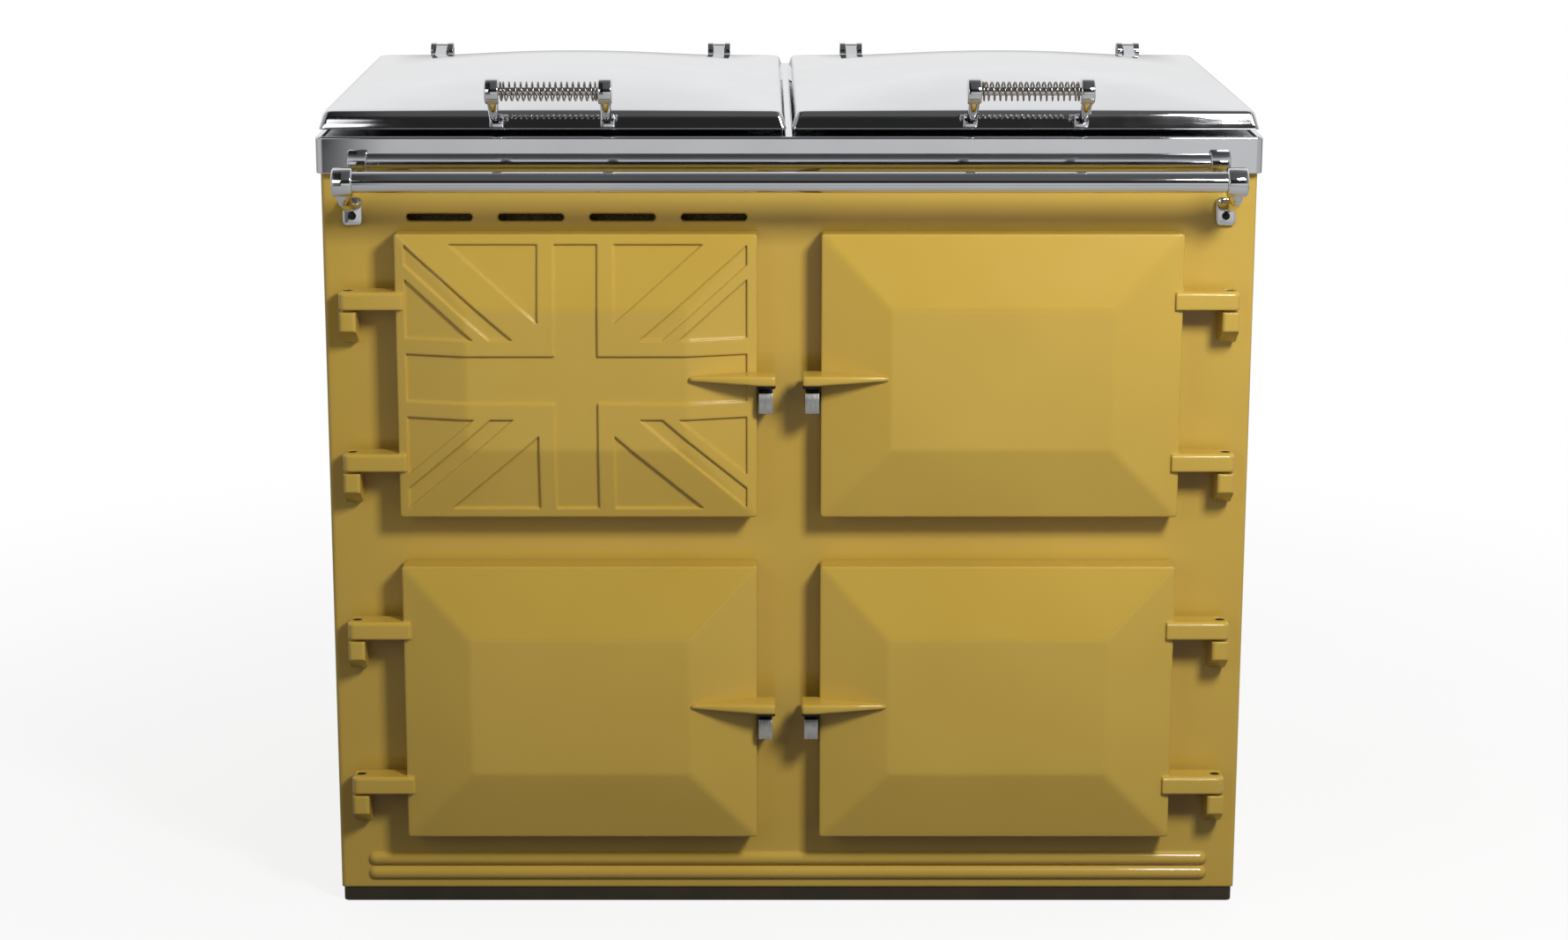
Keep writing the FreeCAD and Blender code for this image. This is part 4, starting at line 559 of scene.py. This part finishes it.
def cast_neck(points, half_wide, half_deep):
    """A cast neck along a bent line, its (foot, waist, top) sizes flowing into one another."""
    side = Vector((1, 0, 0))
    rings = []
    for i, point in enumerate(points):
        t = i / (len(points) - 1)
        run = (points[min(i + 1, len(points) - 1)] - points[max(i - 1, 0)]).normalized()
        by_foot, by_top = (1 - t) ** NECK_FLARE, t ** NECK_FLARE
        wide, deep = (foot * by_foot + top * by_top + waist * (1 - by_foot - by_top)
                      for foot, waist, top in (half_wide, half_deep))
        rings.append(ring_about(point, side * wide, run.cross(side) * deep, NECK_SIDES))
    return skinned(rings)


def bend_through(start, middle, end):
    """Points on a smooth bend that leaves start towards middle and comes to end from it."""
    start, middle, end = Vector(start), Vector(middle), Vector(end)
    shares = [k / BEND_STEPS for k in range(BEND_STEPS + 1)]
    return [start.lerp(middle, t).lerp(middle.lerp(end, t), t) for t in shares]


def turned_cap(x0, x1, y, z, radius, rim):
    """A turned cap along the cooker's width, its rims rounded and its ends slightly dished."""
    length = x1 - x0
    profile = [(CAP_DISH, radius * 0.55), (0.0, radius - rim * 1.8)]
    profile += [(rim * (1 - math.sin(a)), radius - rim * (1 - math.cos(a)))
                for a in (math.pi / 2, math.pi / 3, math.pi / 6, 0)]
    profile += [(length - along, reach) for along, reach in reversed(profile)]
    return turned(profile, (x0, y, z), (1, 0, 0), CAP_SIDES)


dress("handrail", bright_plate)
brackets, screws = [], []
for side in (-1, 1):
    x0, x1 = sorted((side * BRACKET_HIGH.x, side * (BRACKET_HIGH.x - CAP_LENGTH)))
    x = (x0 + x1) / 2
    brackets.append(turned_cap(x0, x1, RAIL_Y, RAIL_Z, CAP_RADIUS, CAP_RIM))
    brackets.append(eased_block((x - FOOT_WIDE / 2, FOOT_FACE, BRACKET_LOW.z),
                                (x + FOOT_WIDE / 2, BRACKET_HIGH.y, FOOT_TOP),
                                corner=0.0045, ease=0.0022))
    root = (x, FOOT_FACE + ROOT_IN, FOOT_TOP - ROOT_DOWN)
    knee = (x, RAIL_Y + KNEE_IN, FOOT_TOP - KNEE_DOWN)
    seat = (x, RAIL_Y, RAIL_Z - SEAT_DOWN)
    brackets.append(cast_neck(bend_through(root, knee, seat), NECK_WIDE, NECK_DEEP))
    for ear in (x - EAR_OUT, x + EAR_OUT):
        brackets.append(turned(EAR, (ear, FOOT_FACE - EAR_FRONT, FOOT_TOP - EAR_DOWN), (1, 0, 0), sides=24))
    screws += screw_head((x, FOOT_FACE, BRACKET_LOW.z + RAIL_SCREW_UP), (0, -1, 0),
                         radius=0.0042, rise=0.0016)
make_piece("rail_bracket_castings", brackets, "cooker", bright_plate, ("rail_brackets",))
blued_steel = new_finish("blued_steel", paint(42, 42, 44), 0.35, 1.0)
colour_between(blued_steel, mottle(blued_steel, 300, 3), paint(34, 34, 36), paint(58, 57, 58))
gloss_between(blued_steel, mottle(blued_steel, 500, 3), 0.28, 0.48)
make_piece("rail_foot_screws", screws, "cooker", blued_steel)

# ---- door hinge lugs and pins ---------------------------------------------------------------------
# Lugs cast with the front, and enamelled with it, stand under the doors' hinge arms. A blackened
# steel pin is pressed into each, and the arm drops over it.
dress("hinge_lugs", mustard_enamel, ease=0.0016)
blackened_pin = new_finish("blackened_pin", paint(30, 28, 25), 0.6, 0.4)
colour_between(blackened_pin, mottle(blackened_pin, 200, 3), paint(22, 20, 18), paint(40, 37, 33))
gloss_between(blackened_pin, mottle(blackened_pin, 500, 3), 0.5, 0.7)
dress("hinge_pins", blackened_pin, ease=0.0005)

# ---- door catches ---------------------------------------------------------------------------------
# Small steel blocks fixed to the front between the doors, brushed along their bowed faces. Each door's
# latch hooks over its own.
brushed_catch = new_finish("brushed_catch", paint(176, 176, 172), 0.36, 1.0)
brushing = mottle(brushed_catch, 90, 5, (14, 1, 1))
colour_between(brushed_catch, brushing, paint(158, 158, 154), paint(190, 190, 187))
gloss_between(brushed_catch, brushing, 0.3, 0.46)
raise_grain(brushed_catch, brushing, 0.00004)
dress("door_catches", brushed_catch, ease=0.0006)

# ---- doors ----------------------------------------------------------------------------------------
# Each door is an enamelled iron casting, a shallow flat-topped pyramid on a thick rim, with its two
# hinge arms cast on. A zinc-coated liner closes its back.

# the doors, with the side of their hinges: -1 left, 1 right
DOORS = {"control_door": -1, "roasting_door": 1, "simmering_door": -1, "baking_door": 1}
for door in DOORS:
    dress(door, mustard_enamel, ease=0.0009, corner=40, held_in=False)
    dress(door + "_liner", zinc_sheet, ease=0.001)

# ---- rope seals of the oven doors -----------------------------------------------------------------
# A rope of three glass fibre strands is seated in a groove of each oven door's liner. It presses on the
# front round the oven's mouth when the door is shut.
DEPTHWISE = Vector((0, 1, 0))
ROPE_INSET = 0.004
ROPE_CORNER = 0.022
ROPE_CORNER_STEPS = 8
ROPE_STEP = 0.0034
STRANDS = 3
STRAND_RADIUS = 0.0021
STRAND_ORBIT = 0.0018
STRAND_SIDES = 8
STRAND_TWIST = 0.020
glass_rope = new_finish("glass_rope", paint(188, 182, 166), 0.9, Sheen_Weight=0.4)
yarn = mottle(glass_rope, 900, 4)
colour_between(glass_rope, yarn, paint(160, 153, 136), paint(204, 199, 184))
raise_grain(glass_rope, yarn, 0.0003)


def rope_line(low, high):
    """Evenly spaced points along the rope's groove inside a box, and the groove's whole length."""
    x, z = (low.x + high.x) / 2, (low.z + high.z) / 2
    outline = eased_outline((high.x - low.x) / 2 - ROPE_INSET, (high.z - low.z) / 2 - ROPE_INSET,
                            ROPE_CORNER, ROPE_CORNER_STEPS)
    points = [Vector((x + wide, 0, z + tall)) for wide, tall in outline]
    points.append(points[0])
    lengths = [0.0]
    for a, b in zip(points, points[1:]):
        lengths.append(lengths[-1] + (b - a).length)
    count = round(lengths[-1] / ROPE_STEP)
    line, k = [], 0
    for i in range(count):
        reach = lengths[-1] * i / count
        while lengths[k + 1] <= reach:
            k += 1
        share = (reach - lengths[k]) / (lengths[k + 1] - lengths[k])
        line.append(points[k].lerp(points[k + 1], share))
    return line, lengths[-1]


for door in ("roasting_door", "simmering_door", "baking_door"):
    low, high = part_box(door + "_seal")
    line, length = rope_line(low, high)
    twists = round(length / STRAND_TWIST)
    centre_line = DEPTHWISE * ((low.y + high.y) / 2)
    strands = []
    for s in range(STRANDS):
        rings = []
        for i, point in enumerate(line):
            run = (line[(i + 1) % len(line)] - line[i - 1]).normalized()
            out = run.cross(DEPTHWISE)
            angle = 2 * math.pi * (twists * i / len(line) + s / STRANDS)
            orbit = (out * math.cos(angle) + DEPTHWISE * math.sin(angle)) * STRAND_ORBIT
            rings.append(ring_about(point + centre_line + orbit, out * STRAND_RADIUS,
                                    DEPTHWISE * STRAND_RADIUS, STRAND_SIDES))
        strands.append(skinned(rings, looped=True))
    make_piece(door + "_rope", strands, door, glass_rope, (door + "_seal",))

# ---- door handles and latches ---------------------------------------------------------------------
# The handle is a cast enamelled blade that runs out level over the door's bevel to a point, thicker at
# the nose past the door's edge. Under the nose a blued steel latch hooks over the catch.

# from the nose's end, in millimetres: along, below the top, thickness, out from the back, edge radius
HANDLE_STATIONS = [
    (0.0, 1.6, 7.6, 31.4, 1.6), (0.5, 0.8, 9.2, 32.8, 1.9), (1.6, 0.2, 10.2, 33.8, 2.2),
    (3.4, 0.0, 10.5, 34.0, 2.4), (19.0, 0.0, 10.5, 34.0, 2.6), (22.0, 0.0, 10.1, 34.0, 2.6),
    (30.0, 0.1, 9.3, 33.6, 2.5), (50.0, 0.6, 7.9, 31.6, 2.3), (70.0, 1.2, 6.4, 28.8, 2.1),
    (82.0, 1.7, 5.4, 27.0, 1.9), (87.5, 2.1, 4.7, 26.2, 1.6), (90.2, 2.7, 3.4, 25.4, 1.1),
    (91.0, 3.4, 2.0, 24.4, 0.6),
]
HANDLE_CORNER_STEPS = 5
for door, hinge_side in DOORS.items():
    low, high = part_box(door + "_handle")
    nose = low.x if hinge_side > 0 else high.x
    rings = []
    for station in HANDLE_STATIONS:
        along, sunk, thick, proud, radius = (value / 1000 for value in station)
        middle_y, middle_z = high.y - proud / 2, high.z - sunk - thick / 2
        outline = eased_outline(proud / 2, thick / 2, radius, HANDLE_CORNER_STEPS)
        rings.append([(nose + hinge_side * along, middle_y + a, middle_z + b) for a, b in outline])
    make_piece(door + "_handle_casting", [skinned(rings)], door, mustard_enamel,
               (door + "_handle",), sharp=60)
    dress(door + "_latch", blued_steel, ease=0.0008)

# ---- lids -----------------------------------------------------------------------------------------
# Two lids of pressed sheet, polished and plated: leaning skirts with a hemmed lower edge, a tight
# shoulder and a low crowned top. A bright pan closes each from below over its own packing.
LIDS = ("left_lid", "right_lid")
LID_SHEET = 0.0017
LID_CORNER = 0.0045
CORNER_GROWTH = 0.35
CORNER_SHARE = 0.98
LID_CORNER_STEPS = 6
# the skirt from the inside of its hem up to the shoulder, in millimetres: inset, height
SKIRT = [(1.9, 0.5), (1.2, 0.1), (0.5, 0.1), (0.1, 0.6), (0.0, 1.4), (0.4, 3.2), (1.3, 6.5), (2.3, 10.2),
         (3.2, 13.6), (3.9, 15.8), (4.7, 17.4), (5.8, 18.5), (7.4, 19.2), (9.6, 19.5)]
SKIRT_HIGH = SKIRT[-1][1] / 1000
CROWN_INSET = 0.005
CROWN_POWER = 2.4
CROWN_RINGS = 46
CROWN_SPACING = 0.8
CROWN_EYE = 0.0004
# shares of a side between two corners; the end ones lie close in, so that a corner's shade ends there
SIDE_STEPS = [0.004] + [k / 18 for k in range(1, 18)] + [0.996]


def lid_outline(middle, half_wide, half_deep, inset):
    """One ring of a lid, with as many points in every ring round each corner and along each side."""
    wide, deep = half_wide - inset, half_deep - inset
    radius = min(LID_CORNER + inset * CORNER_GROWTH, wide, deep) * CORNER_SHARE
    corners = eased_outline(wide, deep, radius, LID_CORNER_STEPS)
    per_corner = LID_CORNER_STEPS + 1
    points = []
    for first in range(0, len(corners), per_corner):
        after = first + per_corner
        (x0, y0), (x1, y1) = corners[after - 1], corners[after % len(corners)]
        points += corners[first:after]
        points += [(x0 + (x1 - x0) * t, y0 + (y1 - y0) * t) for t in SIDE_STEPS]
    return [(middle.x + x, middle.y + y) for x, y in points]


bright_liner = new_finish("bright_liner", paint(200, 201, 203), 0.24, 1.0)
rolled = mottle(bright_liner, 30, 5, (1, 16, 1))
colour_between(bright_liner, rolled, paint(188, 189, 191), paint(210, 211, 213))
gloss_between(bright_liner, rolled, 0.22, 0.29)
for lid in LIDS:
    low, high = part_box(lid)
    middle = (low + high) / 2
    half_wide, half_deep = (high.x - low.x) / 2, (high.y - low.y) / 2
    crown = high.z - low.z - SKIRT_HIGH
    levels = [(inset / 1000, height / 1000) for inset, height in SKIRT]
    shoulder = levels[-1][0]
    reach = half_wide - shoulder - CROWN_EYE
    levels += [(shoulder + reach * (k / CROWN_RINGS) ** CROWN_SPACING, SKIRT_HIGH)
               for k in range(1, CROWN_RINGS + 1)]
    rings = []
    for inset, height in levels:
        ring = []
        for x, y in lid_outline(middle, half_wide, half_deep, inset):
            across = min(1.0, abs(x - middle.x) / (half_wide - CROWN_INSET))
            along = min(1.0, abs(y - middle.y) / (half_deep - CROWN_INSET))
            rise = crown * (1 - along ** CROWN_POWER) * (1 - across ** 2)
            ring.append((x, y, low.z + height + rise))
        rings.append(ring)
    shell = make_piece(lid + "_pressing", [skinned(rings, ends=(False, True))], lid, bright_plate,
                       (lid,), sharp=70)
    sheet = shell.modifiers.new("sheet", "SOLIDIFY")
    sheet.thickness = LID_SHEET
    sheet.offset = -1
    dress(lid + "_liner", bright_liner, ease=0.0008)

# ---- lid hinges -----------------------------------------------------------------------------------
# Plated lugs on each lid's back edge turn on blackened steel pins, held in forked brackets that stand
# on the top plate.
for lid in LIDS:
    dress(lid + "_hinge_lugs", bright_plate, ease=0.0008)
dress("lid_hinge_brackets", bright_plate, ease=0.0008)
dress("lid_hinge_pins", blackened_pin, ease=0.0005)

# ---- sprung handles of the lids -------------------------------------------------------------------
# Two turned caps on bent necks hold a rod over each lid's front edge. A bright open coil of wire round
# the rod keeps the hand off the heat; its two end turns lie close against the caps.
GRIP_CAP_LENGTH, GRIP_CAP_RADIUS, GRIP_CAP_RIM = 0.0145, 0.0133, 0.0016
PAD_WIDE, PAD_HIGH = 0.015, 0.014
PAD_PROUD, PAD_SUNK = 0.005, 0.003
BOSS_WIDE = 0.0124
BOSS_PROUD, BOSS_BACK = 0.0075, 0.003
BOSS_DOWN, BOSS_UP = 0.003, 0.006
GRIP_NECK_WIDE = (0.0070, 0.0043, 0.0064)
GRIP_NECK_DEEP = (0.0050, 0.0040, 0.0056)
GRIP_ROOT_OUT, GRIP_ROOT_UP = 0.0035, 0.002
GRIP_KNEE_IN, GRIP_KNEE_UP = 0.020, 0.004
GRIP_SEAT_IN = 0.001
WIRE_RADIUS = 0.001
WIRE_SIDES = 12
COIL_RADIUS = 0.0094
COIL_TURNS = 16
COIL_STEPS = 28
END_TURN_RISE = 2 * WIRE_RADIUS * 1.08
CAP_GAP = WIRE_RADIUS * 1.2
spring_wire = new_finish("spring_wire", paint(150, 142, 135), 0.2, 1.0)
colour_between(spring_wire, mottle(spring_wire, 200, 3), paint(138, 130, 123), paint(160, 152, 146))
gloss_between(spring_wire, mottle(spring_wire, 400, 3), 0.14, 0.26)


def cover_spring(start, end, y, z):
    """One wire coiled along the rod, with a close turn at each end and open turns between."""
    pitch = (end - start - 2 * END_TURN_RISE) / COIL_TURNS
    turns = COIL_TURNS + 2
    rings = []
    for i in range(COIL_STEPS * turns + 1):
        turn = i / COIL_STEPS
        if turn < 1:
            x, rise = start + END_TURN_RISE * turn, END_TURN_RISE
        elif turn > turns - 1:
            x, rise = end - END_TURN_RISE * (turns - turn), END_TURN_RISE
        else:
            x, rise = start + END_TURN_RISE + pitch * (turn - 1), pitch
        angle = 2 * math.pi * turn
        out = Vector((0, math.cos(angle), math.sin(angle)))
        run = Vector((rise / (2 * math.pi * COIL_RADIUS), -math.sin(angle), math.cos(angle))).normalized()
        rings.append(ring_about(Vector((x, y, z)) + out * COIL_RADIUS, out * WIRE_RADIUS,
                                run.cross(out) * WIRE_RADIUS, WIRE_SIDES))
    return skinned(rings)


for lid in LIDS:
    low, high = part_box(lid + "_handle_brackets")
    rod_low, rod_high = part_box(lid + "_handle_rod")
    y, z = (rod_low.y + rod_high.y) / 2, (rod_low.z + rod_high.z) / 2
    skirt_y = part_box(lid)[0].y
    pad_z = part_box(lid)[0].z + SKIRT_HIGH / 2
    castings = []
    for x0, x1 in ((low.x, low.x + GRIP_CAP_LENGTH), (high.x - GRIP_CAP_LENGTH, high.x)):
        x = (x0 + x1) / 2
        castings.append(turned_cap(x0, x1, y, z, GRIP_CAP_RADIUS, GRIP_CAP_RIM))
        castings.append(eased_block((x - PAD_WIDE / 2, skirt_y - PAD_PROUD, pad_z - PAD_HIGH / 2),
                                    (x + PAD_WIDE / 2, skirt_y + PAD_SUNK, pad_z + PAD_HIGH / 2),
                                    corner=0.002, ease=0.0012))
        castings.append(eased_block((x - BOSS_WIDE / 2, skirt_y - BOSS_PROUD, pad_z - BOSS_DOWN),
                                    (x + BOSS_WIDE / 2, skirt_y - BOSS_BACK, pad_z + BOSS_UP),
                                    corner=0.002, ease=0.0010))
        root = (x, skirt_y - GRIP_ROOT_OUT, pad_z + GRIP_ROOT_UP)
        knee = (x, y + GRIP_KNEE_IN, pad_z + GRIP_KNEE_UP)
        seat = (x, y + GRIP_SEAT_IN, z - SEAT_DOWN)
        castings.append(cast_neck(bend_through(root, knee, seat), GRIP_NECK_WIDE, GRIP_NECK_DEEP))
    make_piece(lid + "_handle_castings", castings, lid, bright_plate,
               (lid + "_handle_brackets",))
    dress(lid + "_handle_rod", bright_plate)
    spring = cover_spring(low.x + GRIP_CAP_LENGTH + CAP_GAP, high.x - GRIP_CAP_LENGTH - CAP_GAP, y, z)
    make_piece(lid + "_cover_spring", [spring], lid, spring_wire, (lid + "_handle_spring",))

# ---- floor ----------------------------------------------------------------------------------------
# A pale studio floor that takes the cooker's shadow and runs out to white. In mirrored and bounced
# light it is darker than it looks, so that the plating keeps its contrast.
FLOOR_NEAR, FLOOR_FAR = 0.6, 2.0
FLOOR_RIM = 2.6
FLOOR_SIDES = 96
WHITE_NEAR, WHITE_FAR = 0.84, 1.0
MIRRORED_WHITE = 0.2
MIRRORED_SHADE = 0.55
MIX_FACTOR, MIX_FIRST, MIX_SECOND, MIX_RESULT = 0, 6, 7, 2


def feed(tree, source, socket):
    """Gives an input another node's output, or a plain value."""
    if isinstance(source, bpy.types.NodeSocket):
        tree.links.new(source, socket)
    else:
        socket.default_value = source


def join_step(tree, kind, *sources, operation=None, **values):
    """One more node in a tree, its first inputs fed in turn and others set by name."""
    step = tree.nodes.new(kind)
    if operation:
        step.operation = operation
    for socket, value in values.items():
        step.inputs[socket.replace("_", " ")].default_value = value
    for source, socket in zip(sources, step.inputs):
        feed(tree, source, socket)
    return step.outputs[0]


def mixed(tree, factor, first, second, blend="MIX"):
    """Two colours mixed by a factor."""
    mix = tree.nodes.new("ShaderNodeMix")
    mix.data_type = "RGBA"
    mix.blend_type = blend
    for place, source in ((MIX_FACTOR, factor), (MIX_FIRST, first), (MIX_SECOND, second)):
        feed(tree, source, mix.inputs[place])
    return mix.outputs[MIX_RESULT]


def ray_kinds(tree):
    """What looks at a surface: the viewer, also through glass; a mirroring surface; a lit surface."""
    path = tree.nodes.new("ShaderNodeLightPath")
    viewer = join_step(tree, "ShaderNodeMath", path.outputs["Is Camera Ray"],
                       path.outputs["Is Transmission Ray"], operation="MAXIMUM")
    return viewer, path.outputs["Is Glossy Ray"], path.outputs["Is Diffuse Ray"]


pale_floor = new_finish("pale_floor", paint(150, 150, 150), 0.85, Specular_IOR_Level=0.1)
tree = pale_floor.node_tree
lit = tree.nodes["Principled BSDF"]
viewer, mirroring, lighting = ray_kinds(tree)
pale = colour_between(pale_floor, mottle(pale_floor, 3, 3), paint(236, 236, 236), paint(240, 240, 240))
shaded = join_step(tree, "ShaderNodeMath", mirroring, MIRRORED_SHADE, operation="MULTIPLY")
indirect = join_step(tree, "ShaderNodeMath", lighting, shaded, operation="MAXIMUM")
tree.links.new(mixed(tree, indirect, pale, paint(50, 50, 50)), lit.inputs["Base Color"])

reach = tree.nodes.new("ShaderNodeVectorMath")
reach.operation = "LENGTH"
tree.links.new(tree.nodes.new("ShaderNodeTexCoord").outputs["Object"], reach.inputs[0])
fade = join_step(tree, "ShaderNodeMapRange", reach.outputs["Value"], From_Min=FLOOR_NEAR,
                 From_Max=FLOOR_FAR, To_Min=WHITE_NEAR, To_Max=WHITE_FAR)
fade.node.interpolation_type = "SMOOTHSTEP"
mirrored = join_step(tree, "ShaderNodeMath", mirroring, MIRRORED_WHITE, operation="MULTIPLY")
seen = join_step(tree, "ShaderNodeMath", viewer, mirrored, operation="MAXIMUM")
share = join_step(tree, "ShaderNodeMath", fade, seen, operation="MULTIPLY")
white = join_step(tree, "ShaderNodeEmission", Color=(1, 1, 1, 1), Strength=1.0)
both = join_step(tree, "ShaderNodeMixShader", share, lit.outputs[0], white)
tree.links.new(both, tree.nodes["Material Output"].inputs["Surface"])

rim = ring_about(Vector((0, 0, 0)), Vector((FLOOR_RIM, 0, 0)), Vector((0, FLOOR_RIM, 0)), FLOOR_SIDES)
ground = bpy.data.meshes.new("floor")
ground.from_pydata([tuple(point) for point in rim], [], [tuple(range(FLOOR_SIDES))])
ground.materials.append(pale_floor)
floor = bpy.data.objects.new("floor", ground)
bpy.context.scene.collection.objects.link(floor)

# ---- room -----------------------------------------------------------------------------------------
# The studio that the plating mirrors: a white backdrop behind the cooker, dim flanks, and on the
# camera's side a lit floor below a dark wall. The viewer sees plain white in its place.

# (place, tone) pairs: places run from straight down to straight up, with the horizon at 0.5
CAMERA_SIDE = [(0.0, 0.45), (0.30, 0.5), (0.435, 0.78), (0.475, 0.7), (0.505, 0.03), (0.70, 0.03),
               (0.74, 0.13), (1.0, 0.13)]
BACKDROP = [(0.0, 0.3), (0.45, 0.4), (0.52, 0.9), (0.60, 1.0), (0.85, 1.0), (0.95, 0.25), (1.0, 0.15)]
FLANKS = [(0.0, 0.45), (0.47, 0.6), (0.52, 0.42), (0.9, 0.42), (1.0, 0.15)]
# the camera's side from left to right, darker on the left
ACROSS = [(0.0, 0.3), (0.33, 0.2), (0.366, 0.05), (0.386, 0.84), (0.65, 1.0), (1.0, 1.0)]


def shade_stops(tree, source, stops):
    """Grey tones set out along a value that runs from 0 to 1."""
    ramp = tree.nodes.new("ShaderNodeValToRGB")
    while len(ramp.color_ramp.elements) < len(stops):
        ramp.color_ramp.elements.new(0.5)
    for element, (place, tone) in zip(ramp.color_ramp.elements, stops):
        element.position = place
        element.color = (tone, tone, tone, 1)
    tree.links.new(source, ramp.inputs["Fac"])
    return ramp.outputs["Color"]


room = bpy.data.worlds.new("white_room")
room.use_nodes = True
bpy.context.scene.world = room
tree = room.node_tree
tree.nodes.clear()
way = tree.nodes.new("ShaderNodeSeparateXYZ")
tree.links.new(tree.nodes.new("ShaderNodeTexCoord").outputs["Generated"], way.inputs[0])
height = join_step(tree, "ShaderNodeMapRange", way.outputs["Z"], From_Min=-1.0, From_Max=1.0)
along = join_step(tree, "ShaderNodeMapRange", way.outputs["X"], From_Min=-0.5, From_Max=0.5)
sideways = join_step(tree, "ShaderNodeMath", way.outputs["X"], operation="ABSOLUTE")
on_flank = join_step(tree, "ShaderNodeMapRange", sideways, From_Min=0.3, From_Max=0.55)
on_camera_side = join_step(tree, "ShaderNodeMapRange", way.outputs["Y"], From_Min=0.3, From_Max=-0.15)
camera_side = mixed(tree, 1.0, shade_stops(tree, height, CAMERA_SIDE), shade_stops(tree, along, ACROSS),
                    "MULTIPLY")
with_flanks = mixed(tree, on_flank, camera_side, shade_stops(tree, height, FLANKS))
around = mixed(tree, on_camera_side, shade_stops(tree, height, BACKDROP), with_flanks)
reflected = join_step(tree, "ShaderNodeBackground", around, Strength=1.0)
plain = join_step(tree, "ShaderNodeBackground", Color=(1, 1, 1, 1), Strength=1.0)
whole = join_step(tree, "ShaderNodeMixShader", ray_kinds(tree)[0], reflected, plain)
tree.links.new(whole, tree.nodes.new("ShaderNodeOutputWorld").inputs["Surface"])

# ---- lamps ----------------------------------------------------------------------------------------
# Two square soft boxes in front of the cooker: the key hangs high on the right and draws the shadows,
# the weaker fill stands lower on the left and opens them.


def hang_lamp(name, place, aim, size, power):
    """A square soft lamp, turned to face a point."""
    light = bpy.data.lights.new(name, "AREA")
    light.shape = "RECTANGLE"
    light.size = size
    light.size_y = size
    light.energy = power
    lamp = bpy.data.objects.new(name, light)
    lamp.location = place
    lamp.rotation_euler = (Vector(aim) - Vector(place)).to_track_quat("-Z", "Y").to_euler()
    bpy.context.scene.collection.objects.link(lamp)


hang_lamp("key_lamp", place=(0.85, -1.8, 1.74), aim=(0.1, -0.3, 0.6), size=0.4, power=36)
hang_lamp("fill_lamp", place=(-1.1, -2.2, 1.3), aim=(0, -0.3, 0.6), size=0.8, power=3.5)

# ---- camera ---------------------------------------------------------------------------------------
# A long lens a few paces in front of the cooker, a little over its top and tilted down, with the frame
# shifted to set the cooker as the photograph does.
CAMERA_PLACE = (-0.0318, -3.7213, 1.3170)
CAMERA_TILT = 12.855
scene = bpy.context.scene
camera_data = bpy.data.cameras.new("camera")
camera_data.lens = 74.4
camera_data.sensor_width = 36.0
camera_data.shift_x = 0.016
camera_data.shift_y = -0.03
camera = bpy.data.objects.new("camera", camera_data)
camera.location = CAMERA_PLACE
camera.rotation_euler = (math.radians(90 - CAMERA_TILT), 0, 0)
scene.collection.objects.link(camera)
scene.camera = camera
scene.view_settings.view_transform = "Standard"
